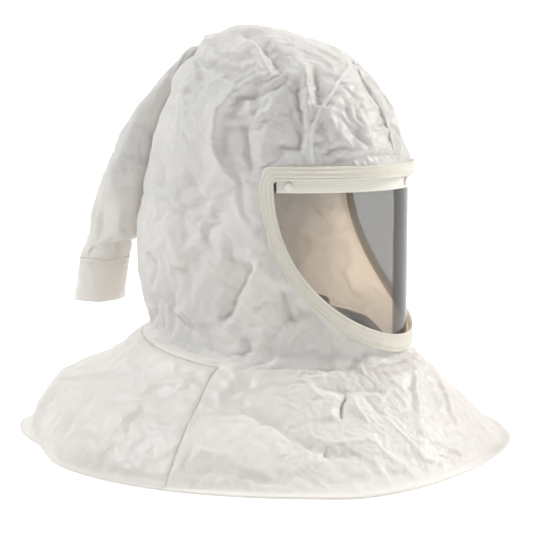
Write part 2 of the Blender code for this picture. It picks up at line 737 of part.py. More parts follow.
def make_keys(group, mats):
    for name, angle in KEY_ANGLES.items():
        heading = math.radians(angle)
        out = Vector((math.sin(heading), -math.cos(heading), 0))
        across, along = out.x / (HAT_HALF_WIDTH - HAT_WALL), out.y / (HAT_HALF_LENGTH - HAT_WALL)
        wall = 1 / math.hypot(across, along)
        centre = Vector((0, HAT_Y, HAT_RIM + 2 * MM)) + out * (wall - 6 * MM)
        mesh = box_mesh("key", (22 * MM, 5 * MM, 20 * MM))
        key = add_object(f"suspension_key_{name}", mesh, mats["strap"], group)
        key.location = centre
        key.rotation_euler = (0, 0, heading)
        bevel(key, 1 * MM, 1)


NAPE_Y = 96 * MM  # inner face of the housing
HOUSING_HALF = 36 * MM


def nape_drop(y):
    """How far the rear strap has dropped at y: steeply behind the ears, level at the nape."""
    near = min(1.0, max(0.0, (y - 16 * MM) / (28 * MM)))
    return (BAND_HIGH - KNOB_Z - 12 * MM) * near * near * (3 - 2 * near)


def make_rear_strap(group, mats, parent):
    outside = BAND_HALF_WIDTH + BAND_WALL + 1 * MM
    straight_end = 36 * MM
    straight = [(outside, straight_end * k / 6) for k in range(6)]
    path = straight + arc_path(outside, 62 * MM, straight_end, 90, 148, 12)
    for side, sign in (("right", -1), ("left", 1)):
        points = [(sign * x, y) for x, y in path]
        if sign < 0:
            points.reverse()
        rows = [[Vector((x, y, height - nape_drop(y))) for x, y in points]
                for height in (BAND_HIGH - 2 * MM, BAND_LOW + 2 * MM)]
        obj = add_object(f"nape_strap_{side}", surface("nape", rows), mats["strap"], group, parent)
        thicken(obj, BAND_WALL)


def gear_outline(teeth, pitch, addendum=0.65 * MM, dedendum=1.05 * MM, fill=0.78):
    """A pinion's outline: straight-flanked teeth, the first one along the first axis."""
    step = 2 * math.pi / teeth
    half_root, half_tip = step * 0.25 * fill * 1.45, step * 0.25 * fill * 0.6
    points = []
    for k in range(teeth):
        middle = k * step
        for turn, radius in ((-half_root, pitch - dedendum), (-half_tip, pitch + addendum),
                             (half_tip, pitch + addendum), (half_root, pitch - dedendum)):
            points.append((radius * math.cos(middle + turn), radius * math.sin(middle + turn)))
    return points


def rack_outline(length_low, length_high, pitch, height, addendum=0.65 * MM, dedendum=1.05 * MM, fill=0.78):
    """A straight rack with a gap at x = 0; its teeth point to -Z and its pitch line is z = 0."""
    step = 2 * math.pi * pitch / PINION_TEETH
    half_root, half_tip = step * 0.25 * fill * 1.45, step * 0.25 * fill * 0.6
    points = [(length_low, dedendum + height), (length_low, dedendum)]
    first = math.ceil((length_low + half_root) / step - 0.5)
    k = first
    while (k + 0.5) * step + half_root < length_high:
        middle = (k + 0.5) * step
        if middle - half_root > length_low:
            points += [(middle - half_root, dedendum), (middle - half_tip, -addendum),
                       (middle + half_tip, -addendum), (middle + half_root, dedendum)]
        k += 1
    points += [(length_high, dedendum), (length_high, dedendum + height)]
    return points


def slab(name, outline, front, back):
    """A closed plate between two y planes from an (x, z) outline."""
    bm = bmesh.new()
    face = bm.faces.new([bm.verts.new((x, front, z)) for x, z in outline])
    grown = bmesh.ops.extrude_face_region(bm, geom=[face])
    verts = [v for v in grown["geom"] if isinstance(v, bmesh.types.BMVert)]
    bmesh.ops.translate(bm, vec=(0, back - front, 0), verts=verts)
    bmesh.ops.recalc_face_normals(bm, faces=bm.faces)
    return mesh_from(name, bm)


def rounded_outline(half_x, half_z, radius, steps=4):
    points = []
    for corner_x, corner_z, start in ((1, 1, 0), (-1, 1, 90), (-1, -1, 180), (1, -1, 270)):
        for k in range(steps + 1):
            turn = math.radians(start + 90 * k / steps)
            points.append((corner_x * (half_x - radius) + radius * math.cos(turn),
                           corner_z * (half_z - radius) + radius * math.sin(turn)))
    return points


def make_ratchet(group, cutters, mats, parent):
    """Housing halves around two racks and a pinion, with the knob behind."""
    raise_z = Matrix.Translation((0, 0, KNOB_Z))
    wall, bay_low, bay_high = 2 * MM, NAPE_Y + 2 * MM, NAPE_Y + 7 * MM
    outline = rounded_outline(HOUSING_HALF, 15 * MM, 8 * MM)
    inner = slab("housing_front", outline, NAPE_Y, NAPE_Y + wall - GAP)
    inner.transform(raise_z)
    add_object("ratchet_inner_plate", inner, mats["grey"], group, parent)

    cover_mesh = slab("cover", outline, bay_low, bay_high + wall)
    cover_mesh.transform(raise_z)
    cover = add_object("ratchet_cover", cover_mesh, mats["grey"], group, parent)
    bay = add_object("ratchet_bay_cutter", box_mesh(
        "bay", (2 * HOUSING_HALF + 4 * MM, bay_high - bay_low + 2 * MM, 22 * MM),
        (0, (bay_low + bay_high) / 2 - 1 * MM, KNOB_Z)), mats["grey"], cutters)
    rod = rod_mesh("shaft_hole", 3.6 * MM, (0, bay_low, KNOB_Z), (0, bay_high + 3 * wall, KNOB_Z))
    shaft_hole = add_object("ratchet_shaft_cutter", rod, mats["grey"], cutters)
    for cutter in (bay, shaft_hole):
        boolean(cover, as_cutter(cutter))

    shaft = add_pivot("ratchet_axis", (0, bay_high, KNOB_Z), group, parent)

    turn = [(z, x) for x, z in gear_outline(PINION_TEETH, PINION_RADIUS)]  # first tooth straight up
    pinion_mesh = slab("pinion", turn, bay_low + 0.5 * MM, bay_high - 0.6 * MM)
    pinion_mesh.transform(raise_z)
    pinion = add_object("pinion_gear", pinion_mesh, mats["steel"], group, shaft)
    ends = ((0, bay_low - 2 * MM, KNOB_Z), (0, bay_high + 2 * MM, KNOB_Z))
    rod = rod_mesh("bore", 2.3 * MM, *ends, 16)
    pinion_bore = add_object("pinion_bore_cutter", rod, mats["grey"], cutters)
    boolean(pinion, as_cutter(pinion_bore))

    knob_y = bay_high + wall + 0.5 * MM
    knob_count, knob_radius = 40, 13 * MM
    rings = []
    for y, grow in ((knob_y, -0.6), (knob_y + 1 * MM, 0), (knob_y + 8 * MM, 0), (knob_y + 9.5 * MM, -1.6)):
        ring = []
        for k in range(knob_count):
            lobe = 0.55 * math.cos(10 * 2 * math.pi * k / knob_count)
            radius = knob_radius + (lobe + grow) * MM
            around = 2 * math.pi * k / knob_count
            ring.append(Vector((radius * math.cos(around), y, KNOB_Z + radius * math.sin(around))))
        rings.append(ring)
    knob_mesh = surface("knob", rings, around=True, caps=True)
    face_outward(knob_mesh)
    knob = add_object("ratchet_knob", knob_mesh, mats["dark"], group, shaft)
    ends = ((0, bay_low + 0.5 * MM, KNOB_Z), (0, knob_y + 2 * MM, KNOB_Z))
    stem = add_object("knob_stem", rod_mesh("stem", 2 * MM, *ends, 16), mats["grey"], cutters)
    boolean(knob, as_cutter(stem), "UNION")

    low, high = -18 * MM, 30 * MM
    outline = rack_outline(low, high, PINION_RADIUS, 2.6 * MM)
    for name, flip in (("rack_tail_left", 1), ("rack_tail_right", -1)):
        placed = [(flip * x, KNOB_Z + flip * (z + PINION_RADIUS)) for x, z in outline]
        mesh = slab(name, placed, bay_low + 0.6 * MM, bay_high - 0.7 * MM)
        add_object(name, mesh, mats["strap"], group, parent)

    outline = rounded_outline(HOUSING_HALF + 4 * MM, 17 * MM, 9 * MM)
    pad = slab("pad", outline, NAPE_Y - 5 * MM, NAPE_Y - GAP)
    pad.transform(raise_z)
    bevel(add_object("nape_pad", pad, mats["foam"], group, parent), 1.5 * MM)


# Assembly -------------------------------------------------------------------------------------
def main():
    clear_scene()
    group = collection("respirator_hood")
    cutters = collection("cutters")
    mats = {
        "fabric": material("coated_fabric", (0.86, 0.86, 0.84), 0.45),
        "elastic": material("elastic_webbing", (0.82, 0.82, 0.8), 0.9),
        "binding": material("vinyl_binding", (0.84, 0.83, 0.77), 0.4),
        "band": material("brow_band_plastic", (0.78, 0.75, 0.68), 0.3),
        "lens": material("smoke_lens", (0.16, 0.15, 0.14), 0.05, alpha=0.45),
        "hat": material("hat_polyethylene", (0.85, 0.85, 0.82), 0.35),
        "strap": material("suspension_nylon", (0.09, 0.09, 0.1), 0.5),
        "foam": material("pad_foam", (0.12, 0.12, 0.13), 0.9),
        "grey": material("grey_abs", (0.32, 0.33, 0.34), 0.4),
        "duct": material("duct_white_abs", (0.75, 0.75, 0.73), 0.4),
        "dark": material("knob_black", (0.03, 0.03, 0.03), 0.45),
        "rubber": material("seal_rubber", (0.03, 0.03, 0.03), 0.7),
        "steel": material("snap_steel", (0.6, 0.6, 0.6), 0.3, metallic=1.0),
    }
    elbow_cutter = make_elbow_cutter(cutters)
    make_fabric(group, cutters, mats, elbow_cutter)
    make_collar(group, mats)
    make_sleeve(group, mats, elbow_cutter)
    make_hat(group, mats, elbow_cutter)
    make_visor(group, cutters, mats)
    make_air_path(group, mats, elbow_cutter)
    make_headband(group, mats)
    make_crown_straps(group, mats)
    make_keys(group, mats)

    carriage = add_pivot("nape_carriage", (0, NAPE_Y, KNOB_Z), group)
    make_rear_strap(group, mats, carriage)
    make_ratchet(group, cutters, mats, carriage)


main()
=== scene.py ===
"""Looks of a loose-fitting air-fed hood: crinkled coated fabric, stitched binding, smoke lens."""

import math

import bmesh
import bpy
import numpy as np
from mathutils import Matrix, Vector
from mathutils.bvhtree import BVHTree
from mathutils.kdtree import KDTree
from mathutils.geometry import delaunay_2d_cdt


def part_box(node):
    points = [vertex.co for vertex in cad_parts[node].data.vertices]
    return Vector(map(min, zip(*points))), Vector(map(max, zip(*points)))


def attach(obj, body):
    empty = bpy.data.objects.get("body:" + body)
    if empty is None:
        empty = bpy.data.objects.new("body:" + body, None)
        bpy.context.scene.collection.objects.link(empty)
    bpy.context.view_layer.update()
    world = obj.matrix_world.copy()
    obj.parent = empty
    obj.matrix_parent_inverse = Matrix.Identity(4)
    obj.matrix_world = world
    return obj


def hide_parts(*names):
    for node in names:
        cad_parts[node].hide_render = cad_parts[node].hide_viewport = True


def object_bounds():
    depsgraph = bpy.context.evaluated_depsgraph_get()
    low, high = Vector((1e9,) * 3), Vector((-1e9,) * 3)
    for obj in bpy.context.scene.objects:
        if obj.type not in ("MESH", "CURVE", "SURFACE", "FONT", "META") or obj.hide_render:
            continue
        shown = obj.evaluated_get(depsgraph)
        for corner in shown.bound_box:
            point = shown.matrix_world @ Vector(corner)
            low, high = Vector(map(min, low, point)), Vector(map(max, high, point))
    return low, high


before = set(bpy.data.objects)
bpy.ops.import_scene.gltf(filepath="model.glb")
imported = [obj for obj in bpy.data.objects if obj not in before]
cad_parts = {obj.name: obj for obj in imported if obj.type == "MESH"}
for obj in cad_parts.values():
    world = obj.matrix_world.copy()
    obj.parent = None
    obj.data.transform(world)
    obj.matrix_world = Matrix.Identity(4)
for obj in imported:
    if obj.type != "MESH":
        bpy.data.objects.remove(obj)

MM = 0.001
CAD_BOX = [list(corner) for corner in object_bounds()]

# Places taken from the frame ---------------------------------------------------------------------
BINDING_LOW, BINDING_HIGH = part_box("visor_binding")
LENS_LOW, LENS_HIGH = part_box("visor_lens")
BINDING_LIFT = 2.3 * MM  # the binding's outer face above the lens cylinder's nominal radius
VISOR_RADIUS = (BINDING_HIGH[0] - BINDING_LOW[0]) / 2 - BINDING_LIFT
VISOR_Y = BINDING_LOW[1] + VISOR_RADIUS + BINDING_LIFT
LENS_MARGIN = 6 * MM
VISOR_TOP = LENS_HIGH[2] - LENS_MARGIN  # top of the clear opening
VISOR_DEPTH = LENS_HIGH[2] - LENS_LOW[2] - 2 * LENS_MARGIN
VISOR_HALF_ARC = VISOR_RADIUS * math.radians(82)
VISOR_SHOULDER = 3 * MM
OUTLINE_POWER = 2.05
CROWN_TOP = CAD_BOX[1][2]

# Hood surface ------------------------------------------------------------------------------------
# Level sections of the hood from crown to hem, in millimetres: height, y of the widest place,
# half width, reach to the front and to the back, and how much higher the back runs.
HOOD = np.array([
    (CROWN_TOP / MM - 2, 14, 0, 0, 0, 0),
    (429, 9, 32, 31, 33, 0),
    (418, -3, 54, 55, 57, 0),
    (405, -10, 70, 73, 75, 0),
    (385, -12, 89, 94, 96, 0),
    (348, -18, 109, 117, 122, 0),
    (306, -30, 117, 121, 150, 0),
    (283, VISOR_Y / MM, 118, 118, 166, 0),
    (240, VISOR_Y / MM, 118, 118, 177, 0),
    (195, VISOR_Y / MM, 118, 118, 179, 0),
    (145, VISOR_Y / MM, 118, 118, 173, 6),
    (98, VISOR_Y / MM, 120, 118, 163, 24),
    (86, -5, 136, 165, 133, 30),
    (62, 0, 172, 193, 175, 18),
    (32, 0, 212, 222, 222, 26),
    (7, 0, 241, 243, 245, 14),
    (0.8, 0, 248, 249, 249, 0),
    (0.8, 0, 259, 259, 259, 0),
]) * MM
NECK, HEM = 12, len(HOOD) - 1
BACK_FULLNESS = 0.9  # below 1 the back is squarer than an ellipse
# How far the hem runs outside or inside the round cape, in millimetres, by angle from the front.
HEM_SWELL = [
    (-180, 10), (-168, 14), (-158, 1), (-150, -10), (-142, -22), (-134, -20), (-117, -8), (-104, -2),
    (-75, 5), (-61, 13), (-50, 26), (-40, 20), (-26, 9), (-6, 2), (14, 6), (40, -2), (62, 4), (88, -8),
    (112, -3), (150, -2), (166, 6), (180, 10),
]


def eased(share):
    """The share from 0 to 1, with a soft start and end."""
    return share * share * (3 - 2 * share)


def smooth_step(value, low, high, falling=False):
    share = np.clip((value - low) / (high - low), 0, 1)
    return eased(1 - share if falling else share)


def cubic(a, b, c, d, f):
    """Smooth curve from b to c at share f, with a before and d after them."""
    return b + 0.5 * f * (c - a + f * (2 * a - 5 * b + 4 * c - d + f * (3 * (b - c) + d - a)))


def unit(vectors):
    return vectors / np.maximum(np.linalg.norm(vectors, axis=-1, keepdims=True), 1e-12)


def distance_along(points):
    """Distance from the first point to each one, along the line through them."""
    return np.concatenate([[0], np.cumsum(np.linalg.norm(np.diff(points, axis=0), axis=1))])


def read_along(places, run, points):
    """The line's points, or other vectors along it, read at distances along the line."""
    return np.stack([np.interp(places, run, points[:, j]) for j in range(3)], axis=1)


def periodic(points, angle):
    """A smooth closed curve through (degrees, value) points."""
    known = np.radians([p[0] for p in points])
    values = np.array([p[1] for p in points], float)
    fine = np.linspace(-math.pi, math.pi, 721)
    curve = np.interp(fine, known, values)[:-1]
    kernel = np.hanning(25)
    curve = np.convolve(np.tile(curve, 3), kernel / kernel.sum(), "same")[720:1440]
    wrapped = (angle + math.pi) % (2 * math.pi) - math.pi
    return np.interp(wrapped, fine, np.append(curve, curve[0]))


def sections(t):
    """Rows of HOOD interpolated at places t: smooth, but straight at the flat hem."""
    t = np.clip(np.asarray(t, float), 0, HEM)
    last = len(HOOD) - 1
    i = np.minimum(t.astype(int), last - 1)
    f = (t - i)[..., None]
    a, b, c, d = (HOOD[np.clip(i + k, 0, last)] for k in (-1, 0, 1, 2))
    smooth = cubic(a, b, c, d, f)
    straight = b + (c - b) * f
    round_f = np.sqrt(f)
    tip = b + (c - b) * np.concatenate([f, round_f, round_f, round_f, round_f, f], axis=-1)
    result = np.where((i >= HEM - 2)[..., None], straight, smooth)
    return np.where((i == 0)[..., None], tip, result)


def hood_points(angle, t):
    """Points of the hood's outer face. Angle 0 is the front and 90 degrees the wearer's left."""
    angle, t = np.broadcast_arrays(np.asarray(angle, float), np.asarray(t, float))
    s = sections(t)
    across, along = np.sin(angle), np.cos(angle)
    fullness = 1 - (1 - BACK_FULLNESS) * np.minimum(1, -2 * np.minimum(along, 0))
    x = s[..., 2] * np.sign(across) * np.abs(across) ** fullness
    reach = np.where(along >= 0, s[..., 3], s[..., 4])
    y = s[..., 1] - reach * np.sign(along) * np.abs(along) ** fullness
    z = s[..., 0] + s[..., 5] * ((1 - along) / 2) ** 2
    share = np.clip((t - NECK) / (HEM - NECK), 0, 1) ** 1.5
    swell = periodic(HEM_SWELL, angle) * MM * share
    length = np.maximum(np.hypot(x, y), 1e-6)
    return np.stack([x + x / length * swell, y + y / length * swell, z], axis=-1)


def t_at_height(angle, z):
    """The place t where the hood passes height z at that angle."""
    low, high = np.zeros(np.shape(angle)), np.full(np.shape(angle), HEM - 1.001)
    for _ in range(24):
        t = (low + high) / 2
        above = hood_points(angle, t)[..., 2] > z
        low, high = np.where(above, t, low), np.where(above, high, t)
    return (low + high) / 2


# Folds -------------------------------------------------------------------------------------------
# Each fold: how far it stands out in mm (below 0 it goes in), how far it spreads to the left and to
# the right of its line in mm, and the line's points as (degrees from the front, height in mm).
SIDE_FOLDS = [
    # crown
    (-5.0, 13, 6, [(-97, 431), (-77, 417), (-68, 401), (-60, 381)]),
    (2.6, 6, 7, [(-92, 425), (-84, 411), (-79, 397), (-73, 381), (-65, 373)]),
    (2.6, 12, 9, [(-66, 428), (-61, 411), (-54, 393), (-52, 372)]),
    (-3.2, 5, 4, [(-57, 386), (-59, 363), (-60, 343), (-62, 314)]),
    (-3.2, 4, 6, [(-66, 364), (-64, 345), (-63, 323), (-66, 306)]),
    (2.4, 4, 4, [(-49, 402), (-53, 375), (-57, 345), (-60, 320)]),
    (-2.2, 4, 5, [(-44, 392), (-46, 372), (-50, 350)]),
    (2.0, 10, 9, [(-146, 406), (-122, 407), (-104, 405), (-84, 405)]),
    (-2.8, 5, 9, [(-138, 396), (-118, 396), (-104, 392), (-92, 387), (-82, 394)]),
    (5.2, 3, 15, [(-77, 386), (-85, 374), (-93, 362), (-99, 347), (-101, 330), (-102, 313), (-100, 292),
                  (-97, 268)]),
    (2.6, 6, 6, [(-118, 384), (-124, 374), (-128, 361)]),
    (2.2, 5, 5, [(-112, 372), (-104, 377), (-99, 384)]),
    (-2.0, 5, 4, [(-130, 383), (-121, 366), (-112, 356)]),
    (-3.6, 7, 6, [(-88, 350), (-89, 332), (-90, 306), (-91, 285)]),
    (1.6, 4, 3, [(-91, 338), (-84, 349), (-77, 358)]),
    (1.4, 3, 4, [(-88, 336), (-77, 347), (-70, 350)]),
    (2.2, 5, 7, [(-76, 340), (-80, 322), (-84, 306), (-87, 294)]),
    (-2.4, 8, 5, [(-76, 318), (-69, 314), (-63, 313)]),
    # side
    (-3.0, 3, 6, [(-136, 294), (-132, 277), (-134, 262)]),
    (2.2, 8, 6, [(-147, 266), (-134, 262), (-122, 260), (-119, 243)]),
    (2.0, 4, 4, [(-110, 237), (-109, 222), (-111, 209)]),
    (1.8, 7, 3, [(-104, 184), (-102, 202), (-98, 216)]),
    (-2.4, 4, 3, [(-100, 218), (-99, 200), (-95, 197), (-92, 190)]),
    (-5.0, 4, 6, [(-91, 203), (-94, 187), (-97, 172), (-100, 153), (-103, 130)]),
    (3.2, 9, 5, [(-89, 202), (-92, 177), (-95, 155)]),
    (2.8, 4, 7, [(-96, 208), (-89, 199), (-83, 187), (-77, 172)]),
    (2.4, 4, 5, [(-103, 137), (-100, 124), (-95, 117)]),
    (2.0, 4, 4, [(-95, 115), (-100, 107), (-95, 98)]),
    (-2.0, 4, 3, [(-101, 142), (-94, 134), (-86, 141)]),
    (-4.0, 5, 4, [(-79, 176), (-76, 159), (-73, 138)]),
    (-2.8, 3, 4, [(-143, 197), (-134, 188), (-136, 168)]),
    (2.4, 6, 6, [(-145, 153), (-132, 162), (-126, 153)]),
    (1.6, 4, 4, [(-120, 150), (-116, 139), (-110, 128)]),
    (-2.0, 4, 4, [(-128, 143), (-122, 132), (-114, 122)]),
    (2.0, 3, 6, [(-99, 276), (-96, 250), (-92, 231), (-86, 213)]),
    (1.6, 3, 4, [(-94, 268), (-92, 250), (-87, 238)]),
    (-2.2, 16, 12, [(-118, 292), (-112, 262), (-101, 228)]),
    (2.2, 14, 14, [(-128, 240), (-122, 215), (-116, 190)]),
    # cape
    (2.4, 16, 7, [(-160, 52), (-138, 70), (-124, 84)]),
    (2.0, 4, 5, [(-101, 48), (-96, 45), (-89, 47)]),
    (1.6, 5, 5, [(-116, 70), (-106, 78), (-96, 83)]),
    (-1.6, 6, 5, [(-118, 58), (-106, 66), (-95, 70)]),
    (2.2, 8, 8, [(-148, 60), (-150, 36), (-152, 12)]),
    (-2.4, 12, 12, [(-128, 70), (-126, 45), (-125, 12)]),
    (2.0, 14, 14, [(-108, 56), (-108, 34), (-109, 10)]),
]
FRONT_FOLDS = [
    # where the sleeve leaves the crown
    (15.0, 34, 34, [(180, 427), (180, 412), (180, 392), (180, 366)]),
    # front of the crown
    (2.0, 4, 4, [(-50, 345), (-45, 340), (-47, 326), (-44, 312)]),
    (-2.6, 4, 3, [(-54, 342), (-50, 333), (-50, 317), (-53, 303)]),
    (1.8, 3, 4, [(-43, 333), (-40, 320), (-42, 306)]),
    (3.0, 6, 4, [(-49, 304), (-36, 309), (-22, 311), (-8, 309)]),
    (-2.8, 3, 5, [(-52, 300), (-40, 302), (-28, 304), (-14, 304)]),
    (-1.8, 4, 4, [(-18, 330), (-20, 316), (-17, 303)]),
    (1.6, 5, 5, [(-30, 350), (-26, 330), (-27, 314)]),
    (3.0, 5, 8, [(12, 392), (6, 362), (2, 330), (0, 300)]),
    (-2.6, 4, 5, [(-2, 390), (-6, 360), (-10, 330), (-10, 304)]),
    (2.2, 8, 8, [(24, 380), (30, 350), (28, 318)]),
    (-2.2, 6, 6, [(38, 372), (44, 340), (40, 308)]),
    # bib
    (-3.5, 14, 9, [(-100, 101), (-88, 106), (-70, 110), (-44, 104), (-20, 98), (10, 97), (50, 104),
                   (80, 106)]),
    (3.5, 18, 22, [(-78, 82), (-60, 86), (-40, 84), (-10, 80), (20, 80)]),
    (0.8, 2, 3, [(-74, 84), (-67, 84), (-58, 83)]),
    (-3.2, 6, 3, [(-58, 80), (-52, 76), (-45, 73), (-38, 73), (-30, 68)]),
    (2.0, 6, 6, [(-57, 80), (-54, 69)]),
    (-8.0, 2.6, 2.6, [(-44, 72), (-47, 65), (-48, 52)]),
    (4.0, 4, 3, [(-48, 72), (-51, 62), (-52, 52)]),
    (4.2, 3, 4, [(-43, 71), (-43, 60), (-41, 48)]),
    (-2.2, 3, 3, [(-39, 71), (-37, 60), (-35, 50)]),
    (1.6, 4, 4, [(-36, 71), (-32, 62)]),
    (2.6, 3, 14, [(-57, 43), (-52, 37), (-46, 36), (-39, 40)]),
    (-2.5, 2.5, 2.5, [(-55, 30), (-53, 27)]),
    (-4.5, 14, 16, [(-86, 75), (-76, 62), (-66, 50), (-60, 37), (-51, 27), (-42, 26)]),
    (1.4, 5, 5, [(-35, 54), (-31, 32), (-28, 12)]),
    (1.2, 5, 5, [(-42, 39), (-39, 24), (-35, 12)]),
    (1.8, 6, 4, [(-26, 37), (-19, 18), (-13, 10)]),
    (2.4, 18, 10, [(-3, 96), (-16, 66), (-26, 34), (-32, 8)]),
    (2.2, 12, 10, [(14, 86), (4, 64), (-6, 40), (-10, 14)]),
    (-2.0, 12, 10, [(4, 90), (-6, 66), (-16, 38)]),
    (2.6, 16, 16, [(-92, 34), (-78, 26), (-66, 12)]),
    (-2.6, 12, 12, [(-86, 20), (-74, 14), (-62, 6)]),
    (3.0, 12, 12, [(40, 86), (44, 50), (46, 12)]),
    (-2.8, 12, 12, [(28, 86), (30, 50), (32, 12)]),
    (2.8, 12, 12, [(72, 80), (72, 44), (74, 10)]),
]
SIDE_LIFT = 1.9
FAR_SIDE_TURN, FAR_SIDE_DROP, FAR_SIDE_SHARE = 5, 4, 0.85
FOLD_STEP = 2 * MM
FOLD_REACH = 5  # a fold is followed this many times its spread away from its line
FOLD_END = 0.12  # what is left of a fold's height at its ends


def all_folds():
    """The folds of both sides, with the far side's a little apart from a mirror image."""
    folds = list(FRONT_FOLDS)
    for lift, left, right, line in SIDE_FOLDS:
        lift *= SIDE_LIFT
        folds.append((lift, left, right, line))
        mirrored = [(FAR_SIDE_TURN - angle, height - FAR_SIDE_DROP) for angle, height in line]
        folds.append((lift * FAR_SIDE_SHARE, right, left, mirrored))
    return folds


def surface_line(line, step=FOLD_STEP):
    """(angle, t) at even steps along a line of (degrees, mm) points, rounded at its bends."""
    angle, height = np.radians([p[0] for p in line]), np.array([p[1] for p in line]) * MM
    places = hood_points(angle, t_at_height(angle, height))
    run = distance_along(places)
    count = max(4, round(run[-1] / step))
    even = np.linspace(0, run[-1], count + 1)
    angle, height = np.interp(even, run, angle), np.interp(even, run, height)
    for _ in range(3):
        for values in (angle, height):
            values[1:-1] = (values[:-2] + 2 * values[1:-1] + values[2:]) / 4
    return angle, t_at_height(angle, height)


def crest(away, roundness):
    """A fold's section: 1 on its line and falling off to both sides, more rounded on top for more."""
    return np.exp(roundness - np.sqrt(away**2 + roundness**2))


def fold_lifts(points, outward):
    """How far all folds together move each point along its outward direction."""
    total = np.zeros(len(points))
    for lift, left, right, line in all_folds():
        route = hood_points(*surface_line(line))
        reach = FOLD_REACH * max(left, right) * MM
        low, high = route.min(axis=0) - reach, route.max(axis=0) + reach
        near = np.flatnonzero(((points > low) & (points < high)).all(axis=1))
        if not len(near):
            continue
        offset = points[near, None, :] - route[None, :, :]
        distance = np.linalg.norm(offset, axis=2)
        best = distance.argmin(axis=1)
        rows = np.arange(len(near))
        away, distance = offset[rows, best], distance[rows, best]
        along = np.gradient(route, axis=0)[best]
        side = (np.cross(along, away) * outward[near]).sum(axis=1)
        spread = np.where(side > 0, left, right) * MM
        share = best / (len(route) - 1)
        fade = np.clip(np.minimum(share, 1 - share) * 4 + FOLD_END, 0, 1)
        total[near] += lift * MM * eased(fade) * crest(distance / spread, 0.12)
    return total


# Visor outline -----------------------------------------------------------------------------------
def lower_edge(arc, grow=0.0):
    share = min(1.0, abs(arc) / (VISOR_HALF_ARC + grow))
    fall = (1 - share**OUTLINE_POWER) ** (1 / OUTLINE_POWER)
    return VISOR_TOP - VISOR_SHOULDER - (VISOR_DEPTH - VISOR_SHOULDER + grow) * fall


def visor_outline(grow=0.0, grow_top=0.0, steps=72, top_steps=40):
    """(arc, height) round the opening: along the bottom from the right corner, then back on top."""
    half = VISOR_HALF_ARC + grow
    points = []
    for k in range(steps + 1):
        turn = math.pi * k / steps
        share = abs(math.cos(turn)) ** (2 / OUTLINE_POWER)
        arc = -math.copysign(half * share, math.cos(turn))
        points.append((arc, lower_edge(arc, grow)))
    top = VISOR_TOP + grow_top
    points += [(half - 2 * half * k / top_steps, top) for k in range(top_steps + 1)]
    return np.array(points)


# Mesh helpers ------------------------------------------------------------------------------------
def link(obj):
    bpy.context.scene.collection.objects.link(obj)
    return obj


def mesh_object(name, points, faces, material, smooth=True):
    mesh = bpy.data.meshes.new(name)
    mesh.from_pydata([tuple(p) for p in points], [], [tuple(f) for f in faces])
    mesh.validate()
    if smooth:
        mesh.shade_smooth()
    mesh.materials.append(material)
    return link(bpy.data.objects.new(name, mesh))


def grid_faces(rows, columns, joined=(False, True)):
    """Quads of a grid of points; joined says whether its rows and its columns close into rings."""
    down, along = (count if ring else count - 1 for count, ring in zip((rows, columns), joined))
    return [(k * columns + j, k * columns + (j + 1) % columns,
             (k + 1) % rows * columns + (j + 1) % columns, (k + 1) % rows * columns + j)
            for k in range(down) for j in range(along)]


def face_outward(obj):
    bm = bmesh.new()
    bm.from_mesh(obj.data)
    bmesh.ops.recalc_face_normals(bm, faces=bm.faces)
    bm.to_mesh(obj.data)
    bm.free()
    obj.data.shade_smooth()


def read_vectors(mesh, attribute):
    flat = np.empty(len(mesh.vertices) * 3)
    mesh.vertices.foreach_get(attribute, flat)
    return flat.reshape(-1, 3)


def coordinates(mesh):
    return read_vectors(mesh, "co")


def normals(mesh):
    return read_vectors(mesh, "normal")


def set_coordinates(mesh, points):
    mesh.vertices.foreach_set("co", np.asarray(points, float).ravel())
    mesh.update()


def flipped(mesh):
    """The mesh's normals after its faces are turned over."""
    mesh.flip_normals()
    mesh.update()
    return normals(mesh)


def hand_over(piece, slot, *nodes, body="root"):
    """Gives a piece its body, and hides the CAD nodes that it stands for."""
    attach(piece, body)
    if nodes:
        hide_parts(*nodes)


def bake(obj, kind, **settings):
    """Puts a modifier on the object and bakes it into the mesh."""
    modifier = obj.modifiers.new(kind.lower(), kind)
    for name, value in settings.items():
        setattr(modifier, name, value)
    graph = bpy.context.evaluated_depsgraph_get()
    made = bpy.data.meshes.new_from_object(obj.evaluated_get(graph))
    old = obj.data
    obj.modifiers.clear()
    obj.data = made
    bpy.data.meshes.remove(old)


# Noise -------------------------------------------------------------------------------------------
def perlin(points, seed):
    """Gradient noise at (n, 3) points, about -1 to 1."""
    rng = np.random.RandomState(seed)
    table = rng.permutation(256)
    gradients = rng.normal(size=(256, 3))
    gradients /= np.linalg.norm(gradients, axis=1)[:, None]
    cell = np.floor(points).astype(int)
    inside = points - cell
    fade = inside**3 * (inside * (inside * 6 - 15) + 10)
    total = np.zeros(len(points))
    for corner in range(8):
        step = np.array([corner & 1, corner >> 1 & 1, corner >> 2 & 1])
        place = (cell + step) & 255
        key = table[(table[(table[place[:, 0]] + place[:, 1]) & 255] + place[:, 2]) & 255]
        dot = (gradients[key] * (inside - step)).sum(axis=1)
        weight = np.where(step, fade, 1 - fade).prod(axis=1)
        total += dot * weight
    return total * 1.6


def creases(points, size, seed, sharpness=1.6):
    """Thin ridges between flat patches, as in crumpled sheet: 1 on a crease and near 0 between."""
    warp = np.stack([perlin(points / (size * 1.7), seed + k) for k in (11, 12, 13)], axis=1)
    warped = points / size + warp * 0.55
    return np.clip(1 - np.abs(perlin(warped, seed)) * 3.2, 0, 1) ** sharpness


# Hood mesh ---------------------------------------------------------------------------------------
SPACING = 5.0 * MM


